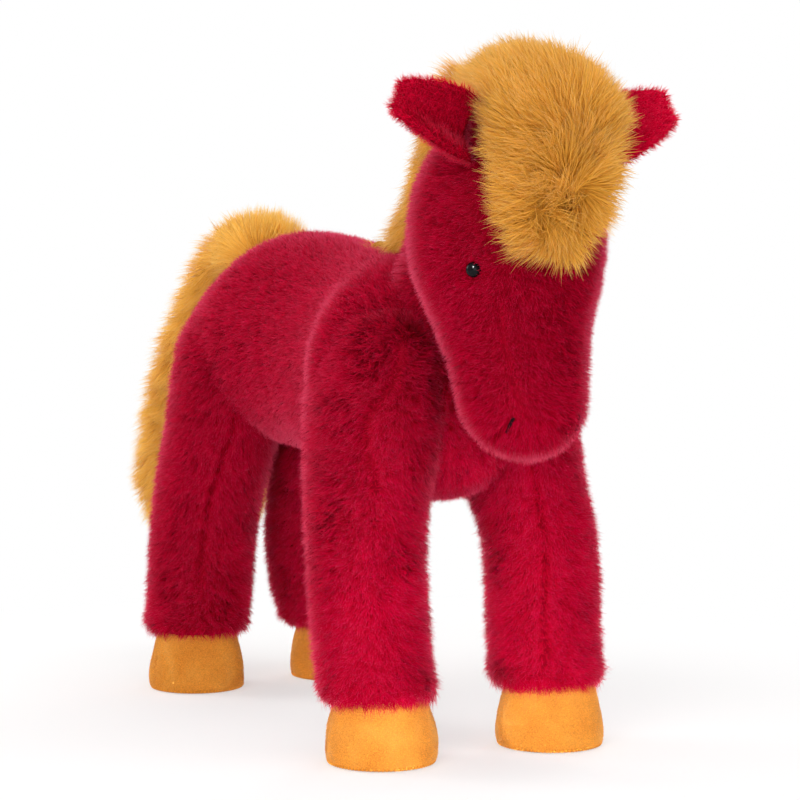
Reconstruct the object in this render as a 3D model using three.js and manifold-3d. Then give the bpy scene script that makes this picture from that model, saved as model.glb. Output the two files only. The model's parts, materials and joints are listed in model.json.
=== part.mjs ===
// A stuffed plush horse that stands on four suede hooves.
// Millimetres, +Z up. The horse faces -Y, its left side is +X, and it is even about X = 0.
// The sewn skins are thin shells round one continuous mass of fibre fill, which passes through the
// openings where the skins are sewn together.

import * as THREE from 'three'
import { mergeVertices } from 'three/addons/utils/BufferGeometryUtils.js'
import Module from 'manifold-3d'

const wasm = await Module()
wasm.setup()

// Driving dimensions

// Cloth, fill and the clearance between sewn neighbours
const clearance = 0.3
const skinWall = 2.5
const cutOverrun = 12

// Feet on the ground
const stanceLength = 228
const frontStanceWidth = 92
const hindStanceWidth = 86

// Hooves
const hoofWidth = 52
const hoofHeight = 32.5
const hoofWall = 2
const soleThickness = 2

// Torso, which overhangs the feet in front and behind
const torsoOverhang = 52
const torsoWidth = 126
const torsoDepth = 116
const torsoHeight = 186.5
const torsoSetback = 11

// Legs
const legWidth = 48
const frontLegLength = 180
const hindLegLength = 178
const frontLegRake = 26
const hindLegRake = 20
const frontLegLean = 12
const hindLegLean = 5
const thighWidth = 52
const thighDepth = 58
const shoulderWidth = 54
const shoulderDepth = 80

// Neck
const neckWidth = 50
const neckDepth = 60
const neckInset = 33
const neckBaseRise = 16
const neckRise = 80
const neckForward = 40

// Head
const headLength = 161
const headWidth = 86
const headDepth = 86
const headForward = 14
const crownRise = 22

// Ears
const earLength = 42
const earWidth = 31
const earCup = 7
const earWall = 2.4
const liningWall = 1.6
const earDrop = 14
const earSpread = 31
const earForward = 18
const earRoll = 7
const earLiftDegrees = 20
const earSweepDegrees = 12
const earFoldDegrees = 20

// Mane, forelock and tail
const maneWidth = 28
const maneThickness = 32
const forelockWidth = 68
const forelockThickness = 38
const tailWidth = 76
const tailThickness = 50
const tailFall = 156.5
const tailRootRise = 52
const tailRootInset = 19
const tailRootWidth = 18
const tailReach = 72

// Eyes and nostril stitches
const eyeWidth = 7
const eyeDome = 2.6
const eyeShankWidth = 2.4
const eyeShankLength = 9
const eyeRise = 86
const eyeSpread = 33
const washerWidth = 11
const washerThickness = 1.2
const washerPlay = 0.3
const stitchLength = 9
const stitchWidth = 1.6
const nostrilRise = 17
const nostrilSpread = 17

// Facets
const torsoSides = 20
const torsoRings = 16
const headSides = 18
const headRings = 12
const neckSides = 16
const neckRings = 5
const legSides = 14
const legRings = 9
const hairSides = 14
const maneRings = 9
const forelockRings = 12
const tailRings = 12
const hoofSides = 20
const smallSides = 12
const stitchSides = 8
const earColumns = 6
const earRows = 8
const seatingSteps = 12

// Materials
const plushRed = { color: 0xb00a2c, roughness: 0.95, metalness: 0 }
const plushGold = { color: 0xd7a03c, roughness: 0.9, metalness: 0 }
const suedeGold = { color: 0xf6a72f, roughness: 0.85, metalness: 0 }
const fibreWhite = { color: 0xf2f0ea, roughness: 1, metalness: 0 }
const glossBlack = { color: 0x0a0a0c, roughness: 0.12, metalness: 0 }
const clearPlastic = { color: 0xe6e6e2, roughness: 0.4, metalness: 0 }
const darkThread = { color: 0x2c0610, roughness: 0.8, metalness: 0 }

// Solids and cuts

function closedGeometry(points, triangles) {
  const geometry = new THREE.BufferGeometry()
  geometry.setAttribute('position', new THREE.Float32BufferAttribute(points, 3))
  geometry.setIndex(triangles)
  return geometry
}

function bare(geometry) {
  const copy = geometry.clone()
  for (const name of ['normal', 'uv']) {
    copy.deleteAttribute(name)
  }
  return mergeVertices(copy)
}

function toSolid(geometry) {
  const merged = bare(geometry)
  return new wasm.Manifold(new wasm.Mesh({
    numProp: 3,
    vertProperties: new Float32Array(merged.attributes.position.array),
    triVerts: new Uint32Array(merged.index.array),
  }))
}

function toGeometry(solid) {
  const mesh = solid.getMesh()
  return closedGeometry(Array.from(mesh.vertProperties), Array.from(mesh.triVerts))
}

function cut(geometry, ...cutters) {
  const solid = cutters.reduce((left, cutter) => left.subtract(toSolid(cutter)), toSolid(geometry))
  return toGeometry(solid)
}

function join(...geometries) {
  const [first, ...others] = geometries.map(toSolid)
  return toGeometry(others.reduce((sum, other) => sum.add(other), first))
}

// The least share of a full step that a facet at a corner may take of the corner's own move
const mitreShare = 0.6

// The same closed form with its facets moved inwards, or outwards where the distance is negative. Each corner
// moves further than its flattest neighbour needs, so that no facet lies nearer than the distance.
function inset(geometry, distance) {
  const merged = bare(geometry)
  merged.computeVertexNormals()
  const position = merged.attributes.position
  const normal = merged.attributes.normal
  const index = merged.index.array
  const shares = new Array(position.count).fill(1)
  const corner = new THREE.Vector3()
  for (let i = 0; i < index.length; i += 3) {
    const ends = [0, 1, 2].map((j) => new THREE.Vector3().fromBufferAttribute(position, index[i + j]))
    const facing = new THREE.Triangle(...ends).getNormal(new THREE.Vector3())
    for (let j = 0; j < 3; j++) {
      const share = facing.dot(corner.fromBufferAttribute(normal, index[i + j]))
      shares[index[i + j]] = Math.min(shares[index[i + j]], share)
    }
  }
  for (let i = 0; i < position.count; i++) {
    const step = distance / Math.max(shares[i], mitreShare)
    position.setXYZ(
      i,
      position.getX(i) - step * normal.getX(i),
      position.getY(i) - step * normal.getY(i),
      position.getZ(i) - step * normal.getZ(i),
    )
  }
  merged.deleteAttribute('normal')
  return merged
}

// A closed body of oval rings along a smooth line. A place is a point on the line, and a swell is the
// ring's half width and half depth there. A swell of zero closes an end in a point, others close it flat.
// The rings stand square to the line, or to one fixed direction where it is given.
function swept(places, swells, rings, sides, direction = null) {
  const line = new THREE.CatmullRomCurve3(places, false, 'catmullrom')
  const girth = new THREE.CatmullRomCurve3(swells, false, 'catmullrom')
  const points = []
  const triangles = []
  const rows = []
  for (let k = 0; k <= rings; k++) {
    const share = k / rings
    const centre = line.getPoint(share)
    const along = direction ?? line.getTangent(share)
    const across = new THREE.Vector3(1, 0, 0)
    across.addScaledVector(along, -across.dot(along)).normalize()
    const up = new THREE.Vector3().crossVectors(along, across)
    const swell = girth.getPoint(share)
    const closes = (k === 0 || k === rings) && swell.x === 0
    const row = []
    for (let s = 0; s < (closes ? 1 : sides); s++) {
      const angle = (2 * Math.PI * s) / sides
      const point = centre.clone()
      point.addScaledVector(across, swell.x * Math.cos(angle))
      point.addScaledVector(up, swell.y * Math.sin(angle))
      row.push(points.length / 3)
      points.push(point.x, point.y, point.z)
    }
    rows.push(row)
  }
  for (let k = 0; k < rings; k++) {
    const low = rows[k]
    const high = rows[k + 1]
    for (let s = 0; s < sides; s++) {
      const next = (s + 1) % sides
      if (low.length > 1) {
        triangles.push(low[s], low[next], high[high.length > 1 ? next : 0])
      }
      if (high.length > 1) {
        triangles.push(low[low.length > 1 ? s : 0], high[next], high[s])
      }
    }
  }
  for (const [row, share] of [[rows[0], 0], [rows[rings], 1]]) {
    if (row.length > 1) {
      const middle = points.length / 3
      points.push(...line.getPoint(share).toArray())
      for (let s = 0; s < sides; s++) {
        const next = (s + 1) % sides
        triangles.push(middle, ...(share === 0 ? [row[next], row[s]] : [row[s], row[next]]))
      }
    }
  }
  return closedGeometry(points, triangles)
}

function turned(profile, sides) {
  return new THREE.LatheGeometry(profile.map(([x, y]) => new THREE.Vector2(x, y)), sides)
}

// A plain round bar along +Y from the origin, used as a cutter and as a shank.
function bar(radius, length, sides) {
  return turned([[0, 0], [radius, 0], [radius, length], [0, length]], sides)
}

function pointed(geometry, from, direction) {
  const turn = new THREE.Quaternion().setFromUnitVectors(new THREE.Vector3(0, 1, 0), direction)
  return geometry.clone().applyQuaternion(turn).translate(from.x, from.y, from.z)
}

function mirrored(geometry) {
  const copy = bare(geometry)
  copy.scale(-1, 1, 1)
  const index = copy.index.array
  for (let i = 0; i < index.length; i += 3) {
    const kept = index[i]
    index[i] = index[i + 1]
    index[i + 1] = kept
  }
  return copy
}

// Where things meet a skin

function trianglesOf(geometry) {
  const merged = bare(geometry)
  const position = merged.attributes.position
  const index = merged.index
  const found = []
  for (let i = 0; i < index.count; i += 3) {
    const corners = [0, 1, 2].map((j) => new THREE.Vector3().fromBufferAttribute(position, index.getX(i + j)))
    found.push(new THREE.Triangle(...corners))
  }
  return found
}

function hit(geometry, from, direction) {
  const ray = new THREE.Ray(from, direction)
  let nearest = Infinity
  let found = null
  for (const triangle of trianglesOf(geometry)) {
    const point = ray.intersectTriangle(triangle.a, triangle.b, triangle.c, true, new THREE.Vector3())
    if (point && point.distanceTo(from) < nearest) {
      nearest = point.distanceTo(from)
      found = { point, normal: triangle.getNormal(new THREE.Vector3()) }
    }
  }
  return found
}

// Moves a group of points along a direction until the nearest lies at the given distance from a skin.
function seatedAt(geometry, points, direction, distance) {
  const faces = trianglesOf(geometry)
  const nearest = (shift) => Math.min(...points.map((point) => {
    const moved = point.clone().addScaledVector(direction, shift)
    return Math.min(...faces.map((face) => {
      return face.closestPointToPoint(moved, new THREE.Vector3()).distanceTo(moved)
    }))
  }))
  let shift = 0
  for (let k = 0; k < seatingSteps; k++) {
    shift += nearest(shift) - distance
  }
  return shift
}

// Stuffed forms

const torsoLength = stanceLength + torsoOverhang
const torsoFrontY = torsoSetback - torsoLength / 2
const torsoRearY = torsoFrontY + torsoLength
const neckBase = new THREE.Vector3(0, torsoFrontY + neckInset, torsoHeight + neckBaseRise)
const neckTop = new THREE.Vector3(0, neckBase.y - neckForward, neckBase.z + neckRise)
const headY = neckTop.y - headForward
const crownHeight = neckTop.z + crownRise
const chinHeight = crownHeight - headLength

// Shares of the torso's length, width, depth and rise from chest to rump
const torsoShares = [
  [0, 0, 0, -0.12], [0.03, 0.5, 0.56, -0.12], [0.1, 0.84, 0.88, -0.1], [0.19, 0.98, 0.98, -0.075],
  [0.29, 0.8, 0.98, -0.05], [0.42, 0.74, 0.97, -0.02], [0.56, 0.75, 0.95, 0.04], [0.7, 0.8, 0.96, 0.07],
  [0.82, 0.77, 0.88, 0.06], [0.9, 0.65, 0.7, 0.035], [0.97, 0.38, 0.4, 0.015], [1, 0, 0, 0.01],
]

function torsoForm() {
  const places = torsoShares.map(([along, , , rise]) => {
    return new THREE.Vector3(0, torsoFrontY + along * torsoLength, torsoHeight + rise * torsoDepth)
  })
  const swells = torsoShares.map(([, wide, deep]) => {
    return new THREE.Vector3((wide * torsoWidth) / 2, (deep * torsoDepth) / 2, 0)
  })
  return swept(places, swells, torsoRings, torsoSides, new THREE.Vector3(0, 1, 0))
}

// Shares of the neck's width and depth from the withers to the poll
const neckSwellShares = [[1.3, 1.2], [1.12, 1.08], [1, 1], [0.92, 0.9], [0.72, 0.66]]

function neckForm() {
  const places = neckSwellShares.map((swell, k) => {
    return neckBase.clone().lerp(neckTop, k / (neckSwellShares.length - 1))
  })
  const swells = neckSwellShares.map(([wide, deep]) => {
    return new THREE.Vector3((wide * neckWidth) / 2, (deep * neckDepth) / 2, 0)
  })
  return swept(places, swells, neckRings, neckSides)
}

// Shares of the head's length, width, depth and setting forward from the chin up to the crown
const headShares = [
  [0, 0, 0, 0.2], [0.035, 0.38, 0.34, 0.2], [0.12, 0.63, 0.58, 0.18], [0.24, 0.7, 0.66, 0.14],
  [0.38, 0.8, 0.82, 0.06], [0.54, 0.99, 1, 0.01], [0.7, 1, 1, 0], [0.84, 0.86, 0.84, 0.04],
  [0.96, 0.48, 0.46, 0.08], [1, 0, 0, 0.08],
]

function headForm() {
  const places = headShares.map(([along, , , forward]) => {
    return new THREE.Vector3(0, headY - forward * headDepth, chinHeight + along * headLength)
  })
  const swells = headShares.map(([, wide, deep]) => {
    return new THREE.Vector3((wide * headWidth) / 2, (deep * headDepth) / 2, 0)
  })
  return swept(places, swells, headRings, headSides, new THREE.Vector3(0, 0, 1))
}

// Shares of a leg's length, of its swell, rake and lean from the hem to the top
const frontLegShares = [
  [0, 0, 0, 0], [0.13, 0, 0.24, -0.1], [0.36, 0.05, 0.48, -0.12], [0.5, 0.35, 0.74, 0.2],
  [0.63, 0.85, 0.94, 0.67], [0.77, 1, 1, 0.95], [0.94, 0.74, 1.02, 1.35], [1, 0, 1, 1.5],
]
const hindLegShares = [
  [0, 0, 0, 0], [0.18, 0, 0.25, 0], [0.4, 0.1, 0.55, 0.2], [0.54, 0.4, 0.7, 0.5],
  [0.68, 0.85, 0.9, 1], [0.82, 1, 1, 1.7], [0.93, 0.84, 1.04, 2.7], [1, 0, 1.1, 3.4],
]
const legClosingShare = 0.9

// A right leg: it stands on the hoof's centre, and its top leans in towards the torso.
function legForm({ shares, length, stance, y, rake, lean, topWidth, topDepth }) {
  const places = shares.map(([along, , raked, leaned]) => {
    return new THREE.Vector3(
      -stance / 2 + leaned * lean,
      y + raked * rake,
      hoofHeight + clearance + along * length,
    )
  })
  const swells = shares.map(([along, swell]) => {
    const closing = along > legClosingShare
    const wide = closing ? swell * topWidth : legWidth + swell * (topWidth - legWidth)
    const deep = closing ? swell * topDepth : legWidth + swell * (topDepth - legWidth)
    return new THREE.Vector3(wide / 2, deep / 2, 0)
  })
  return swept(places, swells, legRings, legSides, new THREE.Vector3(0, 0, 1))
}

const frontLeg = {
  end: 'front', shares: frontLegShares, length: frontLegLength, stance: frontStanceWidth,
  y: -stanceLength / 2, rake: frontLegRake, lean: frontLegLean,
  topWidth: shoulderWidth, topDepth: shoulderDepth,
}
const hindLeg = {
  end: 'hind', shares: hindLegShares, length: hindLegLength, stance: hindStanceWidth,
  y: stanceLength / 2, rake: -hindLegRake, lean: hindLegLean,
  topWidth: thighWidth, topDepth: thighDepth,
}

const torso = torsoForm()
const neck = neckForm()
const head = headForm()
const legs = [frontLeg, hindLeg].flatMap((leg) => {
  const right = legForm(leg)
  return [
    { ...leg, x: -leg.stance / 2, form: right, name: `${leg.end}_right` },
    { ...leg, x: leg.stance / 2, form: mirrored(right), name: `${leg.end}_left` },
  ]
})

// Hooves: a bell of suede open above and below, with a flat sole under it

const hoofShellHeight = hoofHeight - soleThickness - clearance
const hoofShares = [[0, 0.96], [0.14, 1], [0.55, 0.97], [1, 0.87]]

function hoofWallAt(inwards) {
  return hoofShares.map(([up, wide]) => [(wide * hoofWidth) / 2 - inwards, up * hoofShellHeight])
}

// A lathe's axis is +Y, so it is turned up to +Z, which runs its height upwards.
function upright(geometry, x, y, z) {
  return geometry.clone().rotateX(Math.PI / 2).translate(x, y, z)
}

const hoofShell = (() => {
  const outside = hoofWallAt(0)
  const inside = hoofWallAt(hoofWall).reverse()
  return turned([...outside, ...inside, outside[0]], hoofSides)
})()

const soleRadius = (hoofShares[0][1] * hoofWidth) / 2
const sole = turned([
  [0, 0], [soleRadius - soleThickness / 2, 0], [soleRadius, soleThickness / 2], [soleRadius, soleThickness],
  [0, soleThickness],
], hoofSides)

const hoofMouthRadius = (hoofShares.at(-1)[1] * hoofWidth) / 2 - hoofWall
const hemReach = hoofHeight + 2 * skinWall
const hoofFill = (() => {
  const side = hoofWallAt(hoofWall + clearance).map(([x, y]) => [x, y + soleThickness + clearance])
  side[0][1] += clearance
  const topRadius = hoofMouthRadius - clearance
  return turned([[0, side[0][1]], ...side, [topRadius, hemReach], [0, hemReach]], hoofSides)
})()

// The opening through the leg's hem, for the fill that goes on into the hoof
const hemPassage = turned([
  [0, hoofHeight - cutOverrun], [hoofMouthRadius, hoofHeight - cutOverrun],
  [hoofMouthRadius, hemReach + clearance], [0, hemReach + clearance],
], hoofSides)

// Cavities and reaches of the stuffed forms

const cavities = [torso, neck, head, ...legs.map((leg) => leg.form)].map((form) => inset(form, skinWall))
const [torsoCavity, neckCavity, headCavity, ...legCavities] = cavities
const torsoReach = inset(torso, -clearance)
const headReach = inset(head, -clearance)
const neckReach = inset(neck, -clearance)

// Eyes: a glossy dome outside the skin on a shank through it, held by a washer inside

const eyeRight = (() => {
  const start = new THREE.Vector3(-eyeSpread, headY - headDepth, chinHeight + eyeRise)
  const found = hit(head, start, new THREE.Vector3(0, 1, 0))
  return { point: found.point, out: found.normal.clone() }
})()

const shankRadius = eyeShankWidth / 2
const domeShares = [0, 0.3, 0.6, 0.82]
const eyeGeometry = (() => {
  const radius = eyeWidth / 2
  const dome = domeShares.map((share) => {
    const angle = (share * Math.PI) / 2
    return [radius * Math.cos(angle), clearance + eyeDome * Math.sin(angle)]
  })
  return turned([
    [0, -eyeShankLength], [shankRadius, -eyeShankLength], [shankRadius, clearance],
    ...dome, [0, clearance + eyeDome],
  ], smallSides)
})()

const washerRadius = washerWidth / 2
const washerBore = shankRadius + washerPlay
const washerDepth = (() => {
  const start = eyeRight.point.clone().addScaledVector(eyeRight.out, -eyeShankLength)
  const across = new THREE.Vector3(0, 0, 1).cross(eyeRight.out).normalize()
  const up = new THREE.Vector3().crossVectors(eyeRight.out, across)
  const rim = Array.from({ length: smallSides }, (_, k) => {
    const angle = (2 * Math.PI * k) / smallSides
    const point = start.clone().addScaledVector(across, washerRadius * Math.cos(angle))
    return point.addScaledVector(up, washerRadius * Math.sin(angle))
  })
  return eyeShankLength - seatedAt(headCavity, rim, eyeRight.out, clearance)
})()
const washerGeometry = turned([
  [washerBore, -washerDepth - washerThickness], [washerRadius, -washerDepth - washerThickness],
  [washerRadius, -washerDepth], [washerBore, -washerDepth], [washerBore, -washerDepth - washerThickness],
], smallSides)

const eyeHole = pointed(
  bar(washerBore, cutOverrun, smallSides).translate(0, -cutOverrun / 2, 0), eyeRight.point, eyeRight.out,
)
const eyePocketDepth = eyeShankLength + clearance
const eyePocket = pointed(
  bar(washerRadius + clearance, eyePocketDepth, smallSides).translate(0, -eyePocketDepth, 0), eyeRight.point,
  eyeRight.out,
)

// Skins and fill

// The opening that a smaller part's fill passes through is wider than that part's cavity.
const passageDepth = skinWall - 2 * clearance
const neckPassage = inset(neck, passageDepth)
const legPassages = legs.map((leg) => inset(leg.form, passageDepth))
const torsoSkin = cut(torso, torsoCavity, neckPassage, ...legPassages)
const headSkin = cut(head, headCavity, neckPassage, torsoReach, eyeHole, mirrored(eyeHole))
const neckSkin = cut(neck, neckCavity, torsoReach, headReach)

function legSkin(leg, cavity) {
  return cut(leg.form, cavity, torsoReach, upright(hemPassage, leg.x, leg.y, 0))
}

const fillDepth = skinWall + clearance
const fill = cut(
  join(
    ...[torso, neck, ...legs.map((leg) => leg.form)].map((form) => inset(form, fillDepth)),
    cut(inset(head, fillDepth), torsoReach),
    ...legs.map((leg) => upright(hoofFill, leg.x, leg.y, 0)),
  ),
  eyePocket,
  mirrored(eyePocket),
)

// Mane, forelock and tail: long tufts on their backing, cut to what they are sewn on

function tuft(points, swells, width, thickness, rings) {
  const places = points.map(([y, z]) => new THREE.Vector3(0, y, z))
  const girths = swells.map(([wide, thick]) => {
    return new THREE.Vector3((wide * width) / 2, (thick * thickness) / 2, 0)
  })
  return swept(places, girths, rings, hairSides)
}

// Along the crest from the withers to the poll
const crestShares = [[-0.62, 1.1], [-0.2, 0.68], [0.3, 0.49], [0.64, 0.5], [1, 0.5], [1.3, 0.44]]
const maneSwellShares = [[0, 0], [0.7, 0.7], [0.95, 0.95], [1, 1], [1.1, 1], [1.1, 0.8]]

const maneForm = (() => {
  const base = new THREE.Vector3(0, neckBase.y, neckBase.z + neckDepth / 2)
  const run = new THREE.Vector3().subVectors(neckTop, base)
  const out = new THREE.Vector3(0, run.z, -run.y).normalize()
  const points = crestShares.map(([along, proud]) => {
    const point = base.clone().addScaledVector(run, along).addScaledVector(out, proud * neckDepth)
    return [point.y, point.z]
  })
  return tuft(points, maneSwellShares, maneWidth, maneThickness, maneRings)
})()

// Over the poll and down the forehead
const forelockShares = [
  [0.3, -0.12], [0.16, 0.04], [-0.16, 0.08], [-0.46, -0.06], [-0.56, -0.34], [-0.58, -0.62], [-0.6, -0.8],
]
const forelockSwellShares = [
  [0.4, 0.5], [0.6, 0.74], [0.8, 0.94], [1.04, 1], [0.98, 0.86], [0.72, 0.66], [0.28, 0.3],
]

const forelockForm = (() => {
  const points = forelockShares.map(([back, rise]) => {
    return [headY + back * headDepth, crownHeight + rise * headDepth]
  })
  return tuft(points, forelockSwellShares, forelockWidth, forelockThickness, forelockRings)
})()

// The tail hangs from a round root that turns on the rump's upper seam
const tailRootRadius = tailRootWidth / 2
const tailRootSeat = (() => {
  const out = new THREE.Vector3(0, 1, 1).normalize()
  const start = new THREE.Vector3(0, torsoRearY - tailRootInset, torsoHeight + tailRootRise)
  const shift = seatedAt(torso, [start], out.clone().negate(), tailRootRadius + clearance)
  return start.addScaledVector(out, -shift)
})()

// Shares of the way back and down from the root, then of the tail's width and thickness
const tailShares = [[0, 0], [0.07, -0.07], [0.33, 0.06], [0.66, 0.36], [0.94, 0.7], [1.04, 0.93], [1.05, 1]]
const tailSwellShares = [
  [0.2, 0.3], [0.6, 0.5], [0.78, 0.7], [0.94, 0.86], [1, 1], [0.84, 0.86], [0.34, 0.34],
]

const tail = (() => {
  const points = tailShares.map(([back, down]) => {
    return [tailRootSeat.y + back * tailReach, tailRootSeat.z - down * tailFall]
  })
  const form = tuft(points, tailSwellShares, tailWidth, tailThickness, tailRings)
  const root = new THREE.SphereGeometry(tailRootRadius, smallSides, smallSides / 2)
  root.translate(tailRootSeat.x, tailRootSeat.y, tailRootSeat.z)
  return cut(join(form, root), torsoReach)
})()

// Ears: a cupped leaf of plush with a lining in its hollow, on a rolled seam that can fold

const earWidthShares = [[0, 0.94], [0.3, 1], [0.6, 0.82], [0.85, 0.58], [1, 0.38]]

// A cupped leaf in its own frame: X across, Y along and Z the way it faces. The margin leaves out that many
// rows and columns at its edges, so that a lining's facets lie along the outer leaf's.
function leaf(margin, back, front) {
  const outline = new THREE.SplineCurve(earWidthShares.map(([along, wide]) => new THREE.Vector2(along, wide)))
  const points = []
  const rows = earRows - 2 * margin
  const columns = earColumns - 2 * margin
  const at = (layer, row, column) => (layer * (rows + 1) + row) * (columns + 1) + column
  for (const depth of [back, front]) {
    for (let row = 0; row <= rows; row++) {
      const place = outline.getPoint((row + margin) / earRows)
      for (let column = 0; column <= columns; column++) {
        const side = (2 * (column + margin)) / earColumns - 1
        const cup = earCup * side * side * (1 - place.x * place.x)
        points.push((side * place.y * earWidth) / 2, place.x * earLength, cup + depth)
      }
    }
  }
  const triangles = []
  const quad = (a, b, c, d) => triangles.push(a, b, c, a, c, d)
  for (let row = 0; row < rows; row++) {
    for (let column = 0; column < columns; column++) {
      quad(at(0, row, column), at(0, row + 1, column), at(0, row + 1, column + 1), at(0, row, column + 1))
      quad(at(1, row, column), at(1, row, column + 1), at(1, row + 1, column + 1), at(1, row + 1, column))
    }
    quad(at(0, row, 0), at(1, row, 0), at(1, row + 1, 0), at(0, row + 1, 0))
    quad(at(0, row, columns), at(0, row + 1, columns), at(1, row + 1, columns), at(1, row, columns))
  }
  for (let column = 0; column < columns; column++) {
    quad(at(0, 0, column), at(0, 0, column + 1), at(1, 0, column + 1), at(1, 0, column))
    quad(at(0, rows, column), at(1, rows, column), at(1, rows, column + 1), at(0, rows, column + 1))
  }
  return closedGeometry(points, triangles)
}

const earRadius = earRoll / 2
const earRootHalf = (earWidthShares[0][1] * earWidth) / 2
const earSeatShares = [-0.6, 0, 0.6]

const earPlacement = (() => {
  const lift = THREE.MathUtils.degToRad(earLiftDegrees)
  const sweep = THREE.MathUtils.degToRad(earSweepDegrees)
  const facing = new THREE.Vector3(Math.sin(sweep), -Math.cos(sweep), 0)
  const along = new THREE.Vector3(-Math.cos(sweep), -Math.sin(sweep), 0).multiplyScalar(Math.cos(lift))
  along.z = Math.sin(lift)
  const across = new THREE.Vector3().crossVectors(along, facing)
  const start = new THREE.Vector3(-earSpread, headY - earForward, crownHeight - earDrop)
  const seam = earSeatShares.map((share) => start.clone().addScaledVector(across, share * earRootHalf))
  const inwards = along.clone().negate()
  const shift = seatedAt(head, seam, inwards, earRadius + clearance)
  return { along, facing, across, hinge: start.addScaledVector(inwards, shift) }
})()

function placedEar(geometry) {
  const { along, facing, across, hinge } = earPlacement
  const frame = new THREE.Matrix4().makeBasis(across, along, facing)
  return geometry.clone().applyMatrix4(frame.setPosition(hinge))
}

// The rolled seam that the ear folds about, rounded towards its ends
const rollShares = [[0.7, 0.96], [1, 0.8]]

const earOuter = (() => {
  const side = rollShares.map(([wide, along]) => [wide * earRadius, along * earRootHalf])
  const low = side.map(([x, y]) => [x, -y])
  const roll = turned([[0, -earRootHalf], ...low, ...side.reverse(), [0, earRootHalf]], smallSides)
  const form = join(leaf(0, -earWall / 2, earWall / 2), roll.rotateZ(Math.PI / 2))
  return cut(placedEar(form), headReach)
})()
const liningBack = earWall / 2 + clearance
const earLining = placedEar(leaf(1, liningBack, liningBack + liningWall))

// A wedge of room round each ear's root, in which the ear can fold without meeting the tufts
const earRoom = (() => {
  const wedge = new THREE.BoxGeometry(earWidth + 2 * earRadius, earLength + 2 * earRadius, 1)
  wedge.translate(0, earLength / 2, 0)
  const position = wedge.attributes.position
  const spread = Math.tan(THREE.MathUtils.degToRad(earFoldDegrees))
  for (let i = 0; i < position.count; i++) {
    const half = earRadius + clearance + spread * Math.max(position.getY(i), 0)
    const front = position.getZ(i) > 0
    position.setZ(i, front ? half + earCup : -half)
  }
  return placedEar(wedge)
})()

const forelock = cut(forelockForm, headReach, neckReach, earRoom, mirrored(earRoom))
const mane = cut(maneForm, headReach, neckReach, torsoReach, inset(forelockForm, -clearance))

// Nostril stitches: a short thread bar laid in the crease on each side of the muzzle

const threadShares = [[0.7, 0.3], [1, 1]]
const stitchLeanShare = 0.5

const stitchRight = (() => {
  const radius = stitchWidth / 2
  const half = stitchLength / 2
  const start = new THREE.Vector3(-nostrilSpread, headY - headDepth, chinHeight + nostrilRise)
  const found = hit(head, start, new THREE.Vector3(0, 1, 0))
  const seat = found.point.addScaledVector(found.normal, radius + clearance)
  const run = new THREE.Vector3(stitchLeanShare, 0, 1)
  run.addScaledVector(found.normal, -run.dot(found.normal)).normalize()
  const high = threadShares.map(([wide, down]) => [wide * radius, half - down * radius]).reverse()
  const low = threadShares.map(([wide, up]) => [wide * radius, up * radius - half])
  const thread = turned([[0, -half], ...low, ...high, [0, half]], stitchSides)
  return pointed(thread, seat, run)
})()

// The toy, put together

const parts = []

function add(name, geometry, finish) {
  const faceted = bare(geometry).toNonIndexed()
  faceted.computeVertexNormals()
  const mesh = new THREE.Mesh(faceted, new THREE.MeshStandardMaterial(finish))
  mesh.name = name
  parts.push(mesh)
}

function addPair(name, rightGeometry, finish) {
  add(`${name}_right`, rightGeometry, finish)
  add(`${name}_left`, mirrored(rightGeometry), finish)
}

add('torso_skin', torsoSkin, plushRed)
add('neck_skin', neckSkin, plushRed)
add('head_skin', headSkin, plushRed)
legs.forEach((leg, k) => {
  add(`leg_${leg.name}_skin`, legSkin(leg, legCavities[k]), plushRed)
  add(`hoof_${leg.name}`, upright(hoofShell, leg.x, leg.y, soleThickness + clearance), suedeGold)
  add(`hoof_sole_${leg.name}`, upright(sole, leg.x, leg.y, 0), suedeGold)
})
add('fibre_fill', fill, fibreWhite)
add('mane', mane, plushGold)
add('forelock', forelock, plushGold)
add('tail', tail, plushGold)
addPair('ear_outer', earOuter, plushRed)
addPair('ear_lining', earLining, plushRed)
addPair('eye', pointed(eyeGeometry, eyeRight.point, eyeRight.out), glossBlack)
addPair('eye_washer', pointed(washerGeometry, eyeRight.point, eyeRight.out), clearPlastic)
addPair('nostril_stitch', stitchRight, darkThread)

// The origin is under the middle of the toy's bounding box, on the ground.
const horse = new THREE.Group()
horse.add(...parts)
const box = new THREE.Box3().setFromObject(horse)
const centre = box.getCenter(new THREE.Vector3())
for (const part of parts) {
  part.position.set(-centre.x, -centre.y, -box.min.z)
}

export default horse
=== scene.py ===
"""A plush horse: stuffed cushions under dense crimson pile, golden mane, forelock and tail, and
suede hooves. Lengths are millimetres in the horse's own frame until they are written to a mesh."""

import json
import math

import bpy
import numpy as np
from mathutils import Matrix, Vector
from mathutils.bvhtree import BVHTree
from mathutils.kdtree import KDTree


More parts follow.
